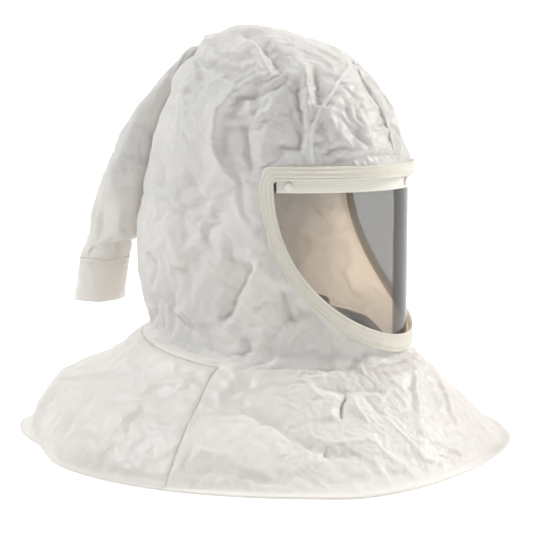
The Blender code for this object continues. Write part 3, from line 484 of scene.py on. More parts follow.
def conformal_scale():
    """Places t, and there: log of the flat map's radius, distance from the crown and girth.

    The map's radius grows so that small triangles keep their shape.
    """
    t = np.concatenate([[0.0, 0.002, 0.01], np.linspace(0.03, HEM, 900)])
    around = np.linspace(-math.pi, math.pi, 73)
    rings = hood_points(around[None, :], t[:, None])
    perimeter = np.linalg.norm(np.diff(rings, axis=1), axis=2).sum(axis=1)
    down = np.linalg.norm(np.diff(rings, axis=0), axis=2).mean(axis=1)
    radius = perimeter / (2 * math.pi)
    middle = np.maximum((radius[1:] + radius[:-1]) / 2, 0.5 * MM)
    log_radius, depth = (np.concatenate([[0], np.cumsum(steps)]) for steps in (down / middle, down))
    return t, log_radius, depth, perimeter


MAP_T, MAP_LOG, MAP_S, MAP_PERIMETER = conformal_scale()


def to_map(angle, t):
    radius = np.exp(np.interp(t, MAP_T, MAP_LOG) - MAP_LOG[-1])
    return np.stack([radius * np.sin(angle), -radius * np.cos(angle)], axis=-1)


def from_map(flat):
    angle = np.arctan2(flat[:, 0], -flat[:, 1])
    log = np.log(np.maximum(np.hypot(flat[:, 0], flat[:, 1]), 1e-12)) + MAP_LOG[-1]
    return angle, np.interp(log, MAP_LOG, MAP_T)


# Where the mesh is finer: spacing, the angles in degrees and the heights in mm.
FINE_PLACES = [
    (2.9, -140, 6, 290, 426),
    (3.1, -156, -68, 110, 290),
    (2.4, -64, -26, 24, 88),
]
GROOVE = 2.2 * MM  # half width of the groove that a seam makes


def ring_points(spacing, angles=(-180, 180), heights=None):
    """Staggered rings of (angle, t), evenly spaced on the surface, within the angles and heights."""
    first, last = np.radians(angles)
    middle = (first + last) / 2
    start, end = 0.0, MAP_S[-1]
    if heights:
        ends = t_at_height(np.full(2, middle), np.array(heights[::-1]) * MM)
        start, end = np.interp(ends, MAP_T, MAP_S)
    rows = int((end - start) / (spacing * math.sqrt(0.75)))
    points = []
    for k in range(1, rows):
        t = np.interp(start + (end - start) * k / rows, MAP_S, MAP_T)
        share = (last - first) / (2 * math.pi)
        count = max(6, round(np.interp(t, MAP_T, MAP_PERIMETER) * share / spacing))
        turns = first + (np.arange(count) + 0.5 * (k % 2)) / count * (last - first)
        points += [(turn, t) for turn in turns]
    return np.array(points)


def free_points():
    """Rings all over, with finer ones in their place where the fine places are."""
    coarse = np.concatenate([[(0.0, 0.0)], ring_points(SPACING)])
    parts = []
    for spacing, first, last, low, high in FINE_PLACES:
        places = hood_points(coarse[:, 0], coarse[:, 1])
        degrees = np.degrees(coarse[:, 0])
        heights = places[:, 2] / MM
        taken = (degrees > first) & (degrees < last) & (heights > low) & (heights < high)
        coarse = coarse[~taken]
        parts.append(ring_points(spacing * MM, (first, last), (low, high)))
    return np.concatenate([coarse] + parts)


def fixed_lines():
    """Lines that the mesh has to follow, as (angle, t): the opening, the hem and the cape's seams."""
    outline = visor_outline(4 * MM, 4 * MM)[:-1]
    opening_angle = outline[:, 0] / VISOR_RADIUS
    opening = np.stack([opening_angle, t_at_height(opening_angle, outline[:, 1])], axis=1)
    count = round(MAP_PERIMETER[-1] / SPACING / 4) * 4
    turns = np.arange(count) / count * 2 * math.pi - math.pi
    hem = np.stack([turns, np.full(count, float(HEM))], axis=1)
    neck_count = round(np.interp(NECK, MAP_T, MAP_PERIMETER) / 2 / SPACING)
    turns = math.pi / 2 + math.pi * np.arange(neck_count + 1) / neck_count
    neck = np.stack([turns, np.full(neck_count + 1, float(NECK))], axis=1)
    neck_s = np.interp(NECK, MAP_T, MAP_S)
    steps = round((MAP_S[-1] - neck_s) / SPACING)
    down = np.interp(np.linspace(neck_s, MAP_S[-1], steps + 1), MAP_S, MAP_T)
    shoulders = [np.stack([np.full(steps - 1, turn), down[1:-1]], axis=1)
                 for turn in (math.pi / 2, -math.pi / 2)]
    return opening, hem, neck, shoulders


def groove_rows(neck, shoulders):
    """Rows of points on both sides of the seams, which keep the seams' grooves narrow."""
    rows = []
    neck_s = np.interp(NECK, MAP_T, MAP_S)
    for side in (-1, 1):
        t = np.interp(neck_s + side * GROOVE, MAP_S, MAP_T)
        rows.append(np.stack([neck[:, 0], np.full(len(neck), t)], axis=1))
        for line in shoulders:
            radius = np.interp(line[:, 1], MAP_T, MAP_PERIMETER) / (2 * math.pi)
            rows.append(np.stack([line[:, 0] + side * GROOVE / radius, line[:, 1]], axis=1))
    return rows


def inside_polygon(points, polygon):
    """Whether each 2-D point is inside the polygon, by counting crossings."""
    inside = np.zeros(len(points), bool)
    for (x1, y1), (x2, y2) in zip(polygon, np.roll(polygon, -1, axis=0)):
        crosses = (y1 > points[:, 1]) != (y2 > points[:, 1])
        with np.errstate(divide="ignore", invalid="ignore"):
            at = x1 + (points[:, 1] - y1) * (x2 - x1) / (y2 - y1)
        inside ^= crosses & (points[:, 0] < at)
    return inside


def thinned(points, kept, least):
    """The points whose place is at least that far from every kept one."""
    places, others = (hood_points(p[:, 0], p[:, 1]) for p in (points, kept))
    clear = np.ones(len(points), bool)
    for other in others:
        clear &= ((places - other) ** 2).sum(axis=1) > least**2
    return points[clear]


def hood_triangles():
    """Every vertex's angle and t, triangles, which of them are the cape's, and the lines' vertices."""
    opening, hem, neck, shoulders = fixed_lines()
    lines = [opening, hem, neck] + shoulders
    grooves = np.concatenate(groove_rows(neck, shoulders))
    grooves[:, 0] = (grooves[:, 0] + math.pi) % (2 * math.pi) - math.pi
    fixed = np.concatenate(lines)
    grooves = thinned(grooves, fixed, 0.3 * SPACING)
    free = thinned(free_points(), np.concatenate([fixed, grooves]), 0.42 * SPACING)
    every = np.concatenate([fixed, grooves, free])
    flat = to_map(every[:, 0], every[:, 1])
    edges, starts = [], [0]
    for number, line in enumerate(lines):
        start, count = starts[-1], len(line)
        edges += [(start + k, start + k + 1) for k in range(count - 1)]
        if number < 2:
            edges.append((start + count - 1, start))
        starts.append(start + count)
    result = delaunay_2d_cdt([Vector(p) for p in flat], edges, [], 0, 1e-9)
    verts = np.array([tuple(v) for v in result[0]])
    faces = np.array([f for f in result[2] if len(f) == 3])
    centres = verts[faces].mean(axis=1)
    in_opening = inside_polygon(centres, to_map(opening[:, 0], opening[:, 1]))
    faces, centres = faces[~in_opening], centres[~in_opening]
    angle, t = from_map(centres)
    cape = (np.abs(angle) > math.pi / 2) & (t > NECK)
    used = np.unique(faces)
    renumber = np.full(len(verts), -1)
    renumber[used] = np.arange(len(used))
    angle, t = from_map(verts[used])
    made_from = {}
    for number, origins in enumerate(result[3]):
        made_from.update((origin, renumber[number]) for origin in origins)
    names = ("opening", "hem", "neck", "left_shoulder", "right_shoulder")
    line_verts = {name: np.array([made_from[k] for k in range(starts[i], starts[i + 1])])
                  for i, name in enumerate(names)}
    return angle, t, renumber[faces], cape, line_verts


# Materials ---------------------------------------------------------------------------------------
def feed(tree, socket, source):
    """Links an output to a socket, or sets the socket to a plain value."""
    if isinstance(source, bpy.types.NodeSocket):
        tree.links.new(source, socket)
    else:
        socket.default_value = source


def node(tree, kind, *inputs, **settings):
    """A new node, with its first inputs in order and its options and other inputs by name."""
    made = tree.nodes.new("ShaderNode" + kind)
    for name, value in settings.items():
        if hasattr(made, name):
            setattr(made, name, value)
        else:
            feed(tree, made.inputs[name.replace("_", " ")], value)
    for socket, source in zip(made.inputs, inputs):
        feed(tree, socket, source)
    return made


def new_material(name, colour, roughness, **sockets):
    """A Principled material, its node tree and its shader."""
    material = bpy.data.materials.new(name)
    material.use_nodes = True
    tree = material.node_tree
    shader = tree.nodes["Principled BSDF"]
    sockets.update(Base_Color=(*colour, 1), Roughness=roughness)
    for socket, value in sockets.items():
        shader.inputs[socket.replace("_", " ")].default_value = value
    return material, tree, shader


def object_place(tree):
    return node(tree, "TexCoord").outputs["Object"]


def noise(tree, scale, detail=4.0, roughness=0.5, distortion=0.0, output="Fac", **settings):
    return node(tree, "TexNoise", object_place(tree), Scale=scale, Detail=detail, Roughness=roughness,
                Distortion=distortion, **settings).outputs[output]


def shade(colour, factor):
    return tuple(min(1, c * factor) for c in colour)


def ramp(tree, source, *stops):
    """A colour ramp fed from source; stops are (place, colour or grey)."""
    made = node(tree, "ValToRGB", source)
    elements = made.color_ramp.elements
    while len(elements) < len(stops):
        elements.new(0.5)
    for element, (place, colour) in zip(elements, stops):
        element.position = place
        element.color = (*colour, 1) if isinstance(colour, tuple) else (colour, colour, colour, 1)
    return made.outputs["Color"]


def vary(tree, shader, socket, source, *stops):
    """Makes a shader's socket follow a ramp."""
    tree.links.new(ramp(tree, source, *stops), shader.inputs[socket])


def add_bump(tree, shader, height, distance, strength=1.0):
    bump = node(tree, "Bump", Distance=distance, Strength=strength, Height=height)
    tree.links.new(bump.outputs["Normal"], shader.inputs["Normal"])


def grain(tree, shader, scale, distance, strength=0.6):
    add_bump(tree, shader, noise(tree, scale, 5.0, 0.6), distance, strength)


def weighted_sum(tree, *parts):
    """The sum of (output, weight) pairs."""
    total = 0.0
    for output, weight in parts:
        total = node(tree, "Math", output, weight, total, operation="MULTIPLY_ADD").outputs[0]
    return total


def facets(tree, scale, patch_scale):
    """Flat facets that meet in crisp lines, strong in some patches and faint in others."""
    bend = noise(tree, scale * 0.5, 2.0, output="Color")
    moved = node(tree, "VectorMath", bend, (0.9 / scale,) * 3, object_place(tree),
                 operation="MULTIPLY_ADD")
    cells = node(tree, "TexVoronoi", feature="F1", Scale=scale, Vector=moved.outputs[0])
    mask = ramp(tree, noise(tree, patch_scale, 2.0), (0.42, 0.1), (0.62, 1.0))
    return node(tree, "Math", cells.outputs["Distance"], mask, operation="MULTIPLY").outputs[0]


def let_through(tree, shader, share, colour):
    """Lets a share of the light that falls on the back of a thin material show on its face."""
    through = node(tree, "BsdfTranslucent", colour)
    blend = node(tree, "MixShader", share, shader.outputs[0], through.outputs[0])
    tree.links.new(blend.outputs[0], tree.nodes["Material Output"].inputs["Surface"])


def fabric_material(name, colour, light_through, crinkle_depth=1.3):
    """Coated nonwoven: crinkles, fine fibres, faint mottling, soft gloss, and light through it."""
    material, tree, shader = new_material(name, colour, 0.5, Specular_IOR_Level=0.42)
    vary(tree, shader, "Base Color", noise(tree, 38.0, 5.0, 0.6),
         (0.3, shade(colour, 0.965)), (0.7, shade(colour, 1.03)))
    vary(tree, shader, "Roughness", noise(tree, 160.0, 3.0), (0.25, 0.36), (0.75, 0.52))
    folds = noise(tree, 26.0, 3.0, 0.55, 0.9, noise_type="RIDGED_MULTIFRACTAL", Offset=0.9, Gain=1.6)
    height = weighted_sum(tree, (noise(tree, 900.0, 6.0, 0.7, 0.6), 0.05), (folds, 0.7),
                          (facets(tree, 34.0, 8.0), 1.6), (facets(tree, 78.0, 14.0), 0.6))
    add_bump(tree, shader, height, crinkle_depth * MM, 0.7)
    let_through(tree, shader, light_through, (0.96, 0.93, 0.89, 1))
    return material


def moulded(name, colour, roughness, **sockets):
    """Moulded plastic: fine spark grain, faint flow marks in its gloss and a slightly uneven colour."""
    material, tree, shader = new_material(name, colour, roughness, **sockets)
    vary(tree, shader, "Base Color", noise(tree, 22.0, 4.0, 0.55, 1.5),
         (0.3, shade(colour, 0.93)), (0.7, shade(colour, 1.05)))
    vary(tree, shader, "Roughness", noise(tree, 90.0, 4.0, 0.6),
         (0.3, roughness * 0.8), (0.7, roughness * 1.2))
    grain(tree, shader, 1800.0, 0.05 * MM)
    return material


def woven(name, colour, scale, roughness=0.75, relief=0.25):
    """Woven tape: over and under threads from two wave textures, with uneven yarns."""
    material, tree, shader = new_material(name, colour, roughness)
    place = object_place(tree)
    waves = [node(tree, "TexWave", place, Scale=scale, Distortion=0.8, Detail=2.0,
                  bands_direction=direction).outputs["Fac"] for direction in ("X", "Z")]
    weave = node(tree, "Math", *waves, operation="MULTIPLY").outputs[0]
    vary(tree, shader, "Base Color", weave, (0.0, shade(colour, 0.88)), (0.8, shade(colour, 1.04)))
    add_bump(tree, shader, weave, relief * MM, 0.5)
    return material


def tape_material():
    """Binding tape: smooth cream coated cloth with a fine weave and a soft shine."""
    material, tree, shader = new_material("binding_tape", (0.88, 0.86, 0.79), 0.4, Specular_IOR_Level=0.45)
    vary(tree, shader, "Base Color", noise(tree, 60.0, 4.0, 0.6),
         (0.3, (0.84, 0.81, 0.74)), (0.7, (0.90, 0.88, 0.81)))
    add_bump(tree, shader, noise(tree, 700.0, 3.0), 0.25 * MM, 0.35)
    let_through(tree, shader, 0.35, (0.95, 0.90, 0.80, 1))
    return material


def band_material():
    """The brow band: pale frosted plastic with fine drawn lines along it, a little see-through."""
    material, tree, shader = new_material("brow_band_plastic", (0.80, 0.76, 0.68), 0.25,
                                          Specular_IOR_Level=0.5, Alpha=0.8)
    stretch = node(tree, "Mapping", object_place(tree), Scale=(6, 6, 900))
    lines = node(tree, "TexNoise", stretch.outputs[0], Scale=1.0, Detail=3.0).outputs["Fac"]
    vary(tree, shader, "Base Color", lines, (0.3, (0.84, 0.80, 0.72)), (0.7, (0.92, 0.89, 0.82)))
    add_bump(tree, shader, lines, 0.08 * MM, 0.4)
    return material


def lens_material():
    """Smoke film: clear face on, darker where it is seen edge on, with faint handling marks."""
    material, tree, shader = new_material("smoke_film", (0.05, 0.045, 0.04), 0.06, Specular_IOR_Level=0.25)
    facing = node(tree, "LayerWeight", 0.5).outputs["Facing"]
    vary(tree, shader, "Alpha", facing, (0.0, 0.34), (0.5, 0.36), (0.54, 0.7), (1.0, 0.9))
    vary(tree, shader, "Roughness", noise(tree, 30.0, 5.0, 0.6, 1.0), (0.35, 0.04), (0.75, 0.10))
    return material


def pad_material(name, colour):
    """Brushed foam or towelling: soft pile with a little sheen."""
    material, tree, shader = new_material(name, colour, 0.9, Sheen_Weight=0.3, Sheen_Roughness=0.5)
    pile = noise(tree, 900.0, 6.0, 0.7)
    vary(tree, shader, "Base Color", pile, (0.35, shade(colour, 0.75)), (0.65, shade(colour, 1.25)))
    add_bump(tree, shader, pile, 0.5 * MM, 0.7)
    return material


def steel_material():
    """Pressed steel: bright, with fine brushed marks."""
    material, tree, shader = new_material("snap_steel", (0.62, 0.61, 0.58), 0.28, Metallic=1.0)
    vary(tree, shader, "Roughness", noise(tree, 500.0, 4.0, 0.6, 2.0), (0.3, 0.2), (0.7, 0.4))
    grain(tree, shader, 900.0, 0.03 * MM, 0.3)
    return material


def duct_material():
    """The air duct: milky flexible plastic that lets some light through."""
    material, tree, shader = new_material("duct_plastic", (0.78, 0.79, 0.78), 0.35,
                                          Transmission_Weight=0.25)
    vary(tree, shader, "Base Color", noise(tree, 40.0, 4.0, 0.6, 1.0),
         (0.3, (0.72, 0.73, 0.72)), (0.7, (0.83, 0.84, 0.83)))
    grain(tree, shader, 700.0, 0.08 * MM)
    return material


def carried_over():
    """Materials of the CAD nodes that stay, by the nodes' names."""
    return {
        "snap_cap_left snap_cap_front snap_cap_right": moulded("snap_cap_nylon", (0.80, 0.77, 0.69), 0.35),
        "snap_socket_left snap_socket_front snap_socket_right": steel_material(),
        "hard_hat": moulded("hat_shell_plastic", (0.78, 0.78, 0.76), 0.32),
        "air_duct": duct_material(),
        "air_inlet_elbow": moulded("inlet_elbow_plastic", (0.20, 0.21, 0.22), 0.42),
        "hose_swivel_collar": moulded("swivel_collar_plastic", (0.07, 0.07, 0.075), 0.38),
        "inlet_seal_ring": moulded("seal_rubber", (0.02, 0.02, 0.02), 0.6),
        "headband_front nape_strap_left nape_strap_right rack_tail_left rack_tail_right":
            moulded("headband_plastic", (0.24, 0.25, 0.27), 0.4),
        "crown_strap_upper crown_strap_lower": woven("crown_webbing", (0.30, 0.31, 0.33), 260.0),
        "suspension_key_front_left suspension_key_front_right "
        "suspension_key_rear_left suspension_key_rear_right":
            moulded("key_plastic", (0.12, 0.12, 0.13), 0.45),
        "ratchet_cover ratchet_inner_plate": moulded("ratchet_housing_plastic", (0.16, 0.17, 0.18), 0.4),
        "ratchet_knob": moulded("ratchet_knob_plastic", (0.05, 0.05, 0.055), 0.5),
        "pinion_gear": moulded("gear_nylon", (0.75, 0.74, 0.70), 0.45),
    }


# Camera and light --------------------------------------------------------------------------------
CAMERA_REACH = 1.6
CAMERA_HEADING = math.radians(-67.97)
CAMERA_SIDESTEP = 35.9 * MM
CAMERA_HEIGHT = 394 * MM
CAMERA_PITCH = math.radians(7.6)
CAMERA_LENS = 102.2
BACKDROP_DISTANCE = 7.0


def make_camera():
    out = Vector((math.sin(CAMERA_HEADING), -math.cos(CAMERA_HEADING), 0))
    right = Vector((math.cos(CAMERA_HEADING), math.sin(CAMERA_HEADING), 0))
    place = Vector((0, VISOR_Y, CAMERA_HEIGHT)) + out * CAMERA_REACH - right * CAMERA_SIDESTEP
    aim = -out * math.cos(CAMERA_PITCH) - Vector((0, 0, math.sin(CAMERA_PITCH)))
    data = bpy.data.cameras.new("camera")
    data.lens = CAMERA_LENS
    data.sensor_width = 36
    data.clip_start = 0.02
    bpy.context.scene.camera = aimed("camera", data, place, aim)


def aimed(name, data, place, aim):
    """A camera or light at a place, turned to look along aim."""
    obj = link(bpy.data.objects.new(name, data))
    obj.location = place
    obj.rotation_euler = Vector(aim).to_track_quat("-Z", "Y").to_euler()
    return obj


def light(name, kind, strength, colour, place, aim):
    data = bpy.data.lights.new(name, kind)
    data.energy = strength
    data.color = colour
    return aimed(name, data, place, aim)


def sun(name, place, strength, softness, colour):
    """An even, soft light that comes from the direction of place; softness is its width in degrees."""
    light(name, "SUN", strength, colour, place, -Vector(place)).data.angle = math.radians(softness)


def make_studio():
    scene = bpy.context.scene
    scene.view_settings.view_transform = "Standard"
    world = bpy.data.worlds.new("studio")
    world.use_nodes = True
    background = world.node_tree.nodes["Background"]
    background.inputs["Color"].default_value = (0.90, 0.95, 1.0, 1)
    background.inputs["Strength"].default_value = 0.17
    scene.world = world
    sun("key", (1.5, -1.6, 1.4), 2.25, 10, (1.0, 0.98, 0.95))
    sun("high_left", (-0.5, 1.3, 2.0), 2.2, 16, (0.97, 0.99, 1.0))
    sun("rake", (-0.1, -2.2, 1.3), 0.5, 8, (1.0, 0.98, 0.95))
    # stands in for the light that enters through the visor
    lamp = light("inside", "AREA", 0.17, (1.0, 0.92, 0.82), (52 * MM, -84 * MM, 190 * MM),
                 (1, -0.35, -0.2))
    lamp.data.size = 0.1
    lamp.visible_camera = False
    white_surface("floor", 0.3, 40, (0, 0, -0.5 * MM), (0, 0, 0))
    away = Vector((-math.sin(CAMERA_HEADING), math.cos(CAMERA_HEADING), 0)) * BACKDROP_DISTANCE
    white_surface("backdrop", 0.75, 9, away + Vector((0, 0, 8)), (math.pi / 2, 0, CAMERA_HEADING))


def white_surface(name, glow, size, place, turn):
    """A plain white sheet of the studio that also glows a little, so that it comes out white."""
    paper = new_material(name + "_paper", (0.84, 0.84, 0.84), 0.9, Specular_IOR_Level=0.1,
                         Emission_Color=(1, 1, 1, 1), Emission_Strength=glow)[0]
    corners = [(-size, -size, 0), (size, -size, 0), (size, size, 0), (-size, size, 0)]
    sheet = mesh_object(name, corners, [(0, 1, 2, 3)], paper)
    sheet.location = place
    sheet.rotation_euler = turn


# Hood --------------------------------------------------------------------------------------------
SEAM_DEPTH = 0.8 * MM
FABRIC_THICKNESS = 0.5 * MM
GROWTH = 0.035  # how much longer the cloth gets in the simulation, which buckles it into small folds
SETTLE_FRAMES = 16
MOST_MOVE = 5 * MM
# A light, papery cloth that is held softly.
CLOTH = {"quality": 4, "mass": 0.08, "tension_stiffness": 12, "compression_stiffness": 12,
         "shear_stiffness": 12, "bending_stiffness": 0.15, "pin_stiffness": 0.6}
# Layers of the crumple: size in mm, seed, sharpness, and height in mm, which is below 0 for dents.
CREASE_LAYERS = [(44, 20, 1.5, 1.05), (30, 40, 1.6, -1.4), (17, 60, 1.5, 0.9), (13, 61, 1.5, -0.7)]


def distance_to(points, others):
    """Distance from each point to the nearest of the others."""
    tree = KDTree(len(others))
    for number, other in enumerate(others):
        tree.insert(other, number)
    tree.balance()
    return np.array([tree.find(point)[2] for point in points])


def crumple(points, seed, size=1.0):
    """Outward moves that crumple coated fabric: broad swells, then ridges, dents and fine creases."""
    swell = perlin(points / (75 * MM * size), seed) * 1.8
    detail = sum(creases(points, scale * MM * size, seed + shift, sharpness) * height
                 for scale, shift, sharpness, height in CREASE_LAYERS)
    patches = smooth_step(perlin(points / (60 * MM), seed + 80), -0.3, 0.5)
    return (swell + detail * (0.35 + patches)) * MM


def settle(obj, hold, growth, frames, most, gravity=0.15):
    """Runs the cloth simulation on the object and keeps its result, with no point moved by over most."""
    start = coordinates(obj.data)
    group = obj.vertex_groups.new(name="hold")
    for level in np.unique(np.round(hold, 2)):
        members = np.flatnonzero(np.round(hold, 2) == level)
        group.add([int(m) for m in members], float(level), "REPLACE")
    cloth = obj.modifiers.new("cloth", "CLOTH")
    settings = cloth.settings
    for name, value in CLOTH.items():
        setattr(settings, name, value)
    settings.vertex_group_mass = group.name
    settings.shrink_min = -growth
    settings.effector_weights.gravity = gravity
    cloth.point_cache.frame_start = 1
    cloth.point_cache.frame_end = frames
    scene = bpy.context.scene
    for frame_number in range(1, frames + 1):
        scene.frame_set(frame_number)
    graph = bpy.context.evaluated_depsgraph_get()
    settled = coordinates(obj.evaluated_get(graph).data)
    obj.modifiers.remove(cloth)
    obj.vertex_groups.remove(group)
    scene.frame_set(1)
    move = settled - start
    length = np.linalg.norm(move, axis=1)
    share = np.where(length > 0, most * np.tanh(length / most) / np.maximum(length, 1e-9), 0)
    set_coordinates(obj.data, start + move * share[:, None])


def make_hood_surface(material):
    """The whole hood and cape as one sheet, folded, crumpled and settled."""
    angle, t, faces, cape, lines = hood_triangles()
    smooth = hood_points(angle, t)
    mesh = bpy.data.meshes.new("hood_sheet")
    mesh.from_pydata([tuple(p) for p in smooth], [], [tuple(f) for f in faces])
    mesh.shade_smooth()
    outward = normals(mesh)
    if outward[np.argmin(np.abs(angle) + np.abs(t - 8))][1] > 0:
        outward = flipped(mesh)
    opening = smooth[lines["opening"]]
    free_of_binding = smooth_step(distance_to(smooth, opening), 6 * MM, 18 * MM)
    above_floor = smooth_step(smooth[:, 2], 1 * MM, 16 * MM)
    calm = 1 - 0.75 * smooth_step(smooth[:, 2], 90 * MM, 120 * MM, falling=True)
    lift = fold_lifts(smooth, outward) + crumple(smooth, 5) * calm
    lift *= free_of_binding * above_floor
    seam = np.concatenate([lines["neck"], lines["left_shoulder"], lines["right_shoulder"]])
    lift[seam] -= SEAM_DEPTH * above_floor[seam]
    points = smooth + outward * lift[:, None]
    points[:, 2] = np.maximum(points[:, 2], 0.5 * MM)
    set_coordinates(mesh, points)
    mesh.materials.append(material)
    hood = link(bpy.data.objects.new("hood_sheet", mesh))
    hold = 0.22 + 0.78 * (1 - free_of_binding)
    hold = np.maximum(hold, 1 - smooth_step(smooth[:, 2], 2 * MM, 14 * MM))
    near_seam = 1 - smooth_step(distance_to(smooth, smooth[seam]), 2 * MM, 8 * MM)
    bib = smooth_step(smooth[:, 2], 80 * MM, 105 * MM, falling=True)
    hold = np.maximum(np.maximum(hold, near_seam), 0.6 * bib)
    settle(hood, np.clip(hold, 0, 1), GROWTH, SETTLE_FRAMES, MOST_MOVE)
    return hood, cape, lines


def split_off(sheet, name, keep_faces):
    """A new object of the sheet's chosen faces."""
    bm = bmesh.new()
    bm.from_mesh(sheet.data)
    bm.faces.ensure_lookup_table()
    unwanted = [bm.faces[int(k)] for k in np.flatnonzero(~keep_faces)]
    bmesh.ops.delete(bm, geom=unwanted, context="FACES")
    mesh = bpy.data.meshes.new(name)
    bm.to_mesh(mesh)
    bm.free()
    for material in sheet.data.materials:
        mesh.materials.append(material)
    mesh.shade_smooth()
    return link(bpy.data.objects.new(name, mesh))


def give_thickness(obj, thickness, inside_slot=0):
    bake(obj, "SOLIDIFY", thickness=thickness, offset=-1, material_offset=inside_slot)


def make_hood(fabric, painted_shade_inside):
    sheet, cape, lines = make_hood_surface(fabric)
    places = coordinates(sheet.data)
    tree = BVHTree.FromPolygons([Vector(p) for p in places],
                                [tuple(p.vertices) for p in sheet.data.polygons])
    seams = {name: places[line] for name, line in lines.items()}
    shell = split_off(sheet, "hood_shell", ~cape)
    back = split_off(sheet, "cape_shell", cape)
    bpy.data.objects.remove(sheet)
    for piece in (shell, back):
        piece.data.materials.append(painted_shade_inside)
        give_thickness(piece, FABRIC_THICKNESS, 1)
    hand_over(shell, "fabric", "hood_panel_left", "hood_panel_right", "crown_front_panel")
    hand_over(back, "fabric", "back_cape")
    return tree, seams


# Strips and stitches -----------------------------------------------------------------------------
def on_hood(tree, angle, t, lift=0.0):
    """Points and outward directions on the finished hood nearest to places of its smooth face."""
    smooth = hood_points(angle, t)
    points, outs = [], []
    for place in smooth:
        point, out, _, _ = tree.find_nearest(Vector(place))
        points.append(np.array(point) + np.array(out) * lift)
        outs.append(np.array(out))
    return np.array(points), np.array(outs)


def running_mean(values, rounds, closed=False):
    """Values smoothed along their first axis."""
    values = np.array(values, float)
    for _ in range(rounds):
        before, after = np.roll(values, 1, axis=0), np.roll(values, -1, axis=0)
        mixed = (before + 2 * values + after) / 4
        if not closed:
            mixed[0], mixed[-1] = values[0], values[-1]
        values = mixed
    return values


def sweep(name, points, outs, profile, material, closed=False):
    """A strip that follows points; the profile's (across, out) points run round its section."""
    forward = np.roll(points, -1, axis=0) - np.roll(points, 1, axis=0)
    if not closed:
        forward[0], forward[-1] = points[1] - points[0], points[-1] - points[-2]
    across = unit(np.cross(outs, forward))
    up = unit(np.cross(forward, across))
    grid = np.stack([points + across * a + up * b for a, b in profile], axis=1)
    count, sides = grid.shape[:2]
    faces = grid_faces(count, sides, (closed, True))
    if not closed:
        faces.append(tuple(range(sides))[::-1])
        faces.append(tuple((count - 1) * sides + j for j in range(sides)))
    made = mesh_object(name, grid.reshape(-1, 3), faces, material)
    face_outward(made)
    return made


def tape_profile(width, height, sides=7):
    """A section with a rounded top, flat below, sunk a little into what it lies on."""
    top = [(width / 2 * math.cos(math.pi * k / sides), height * math.sin(math.pi * k / sides) ** 0.6)
           for k in range(sides + 1)]
    return top + [(-width / 2, -0.4 * MM), (width / 2, -0.4 * MM)]


def stitches(name, points, outs, pitch, material, thickness=0.35 * MM, share=0.66, closed=False):
    """A row of stitches along points: each a short thread that dives into the cloth at both ends."""
    if closed:
        points = np.concatenate([points, points[:1]])
        outs = np.concatenate([outs, outs[:1]])
    run = distance_along(points)
    count = max(1, round(run[-1] / pitch))
    verts, faces = [], []
    bends = ((-0.5, -0.3), (-0.28, 0.5), (0.0, 0.75), (0.28, 0.5), (0.5, -0.3))
    for k in range(count):
        middle = (k + 0.5) * run[-1] / count
        start = len(verts)
        spots = [middle + pitch * share * along for along, _ in bends]
        place, out = read_along(spots, run, points), unit(read_along(spots, run, outs))
        ahead = unit(place[-1] - place[0])
        side = unit(np.cross(out, ahead))
        for (_, rise), centre, up, beside in zip(bends, place, out, side):
            for turn in range(4):
                a = math.pi / 2 * turn + math.pi / 4
                high = rise * thickness + thickness / 2 * math.sin(a)
                verts.append(centre + up * high + beside * thickness / 2 * math.cos(a))
        faces += [tuple(start + corner for corner in face) for face in grid_faces(len(bends), 4)]
        faces.append(tuple(start + turn for turn in (3, 2, 1, 0)))
        faces.append(tuple(start + (len(bends) - 1) * 4 + turn for turn in range(4)))
    made = mesh_object(name, verts, faces, material)
    face_outward(made)
    return made


# The crown's seams as (degrees, mm) lines: the front panel's two edges and its middle.
CROWN_SEAMS = {
    "crown_seam_right": [(-2, 396), (-18, 387), (-33, 376), (-47, 355), (-55, 338), (-58, 325), (-61, 298)],
    "crown_seam_middle": [(4, 398), (0, 380), (-5, 358), (-8, 330), (-8, 304)],
    "crown_seam_left": [(8, 396), (30, 380), (47, 355), (55, 335), (61, 298)],
}


STITCHES_FROM_SEAM = 3.4 * MM


def make_seams(tree, seams, fabric, thread):
    made = []
    for name, line in CROWN_SEAMS.items():
        angle, t = surface_line(line, 3 * MM)
        points, outs = on_hood(tree, angle, t)
        points, outs = running_mean(points, 2), unit(running_mean(outs, 6))
        made.append(sweep(name, points, outs, tape_profile(4.2 * MM, 1.5 * MM), fabric))
    for name in ("neck", "left_shoulder", "right_shoulder"):
        line = seams[name]
        run = distance_along(line)
        middle = read_along(np.linspace(0, run[-1], round(run[-1] / (3 * MM))), run, line)
        outs = np.array([np.array(tree.find_nearest(Vector(p))[1]) for p in middle])
        outs = unit(running_mean(outs, 8))
        forward = np.gradient(middle, axis=0)
        shift = unit(np.cross(outs, forward)) * STITCHES_FROM_SEAM
        below_or_behind = shift[:, 2] < 0 if name == "neck" else shift[:, 1] > 0
        shift *= 1 if below_or_behind.mean() > 0.5 else -1
        row = np.array([np.array(tree.find_nearest(Vector(p))[0]) for p in middle + shift])
        made.append(stitches(f"{name}_stitches", running_mean(row, 1), outs, 3.2 * MM, thread))
    for piece in made:
        hand_over(piece, "fabric")


# Visor -------------------------------------------------------------------------------------------
BINDING_WIDTH, BINDING_TOP_WIDTH, BINDING_CHIN = 14 * MM, 14 * MM, 5 * MM
BINDING_CHIN_RISE = 40 * MM  # the tape is wider over this height at the chin
BINDING_CORNER = 11 * MM  # rounding of its two upper corners
BINDING_BASE = VISOR_RADIUS + 1.3 * MM
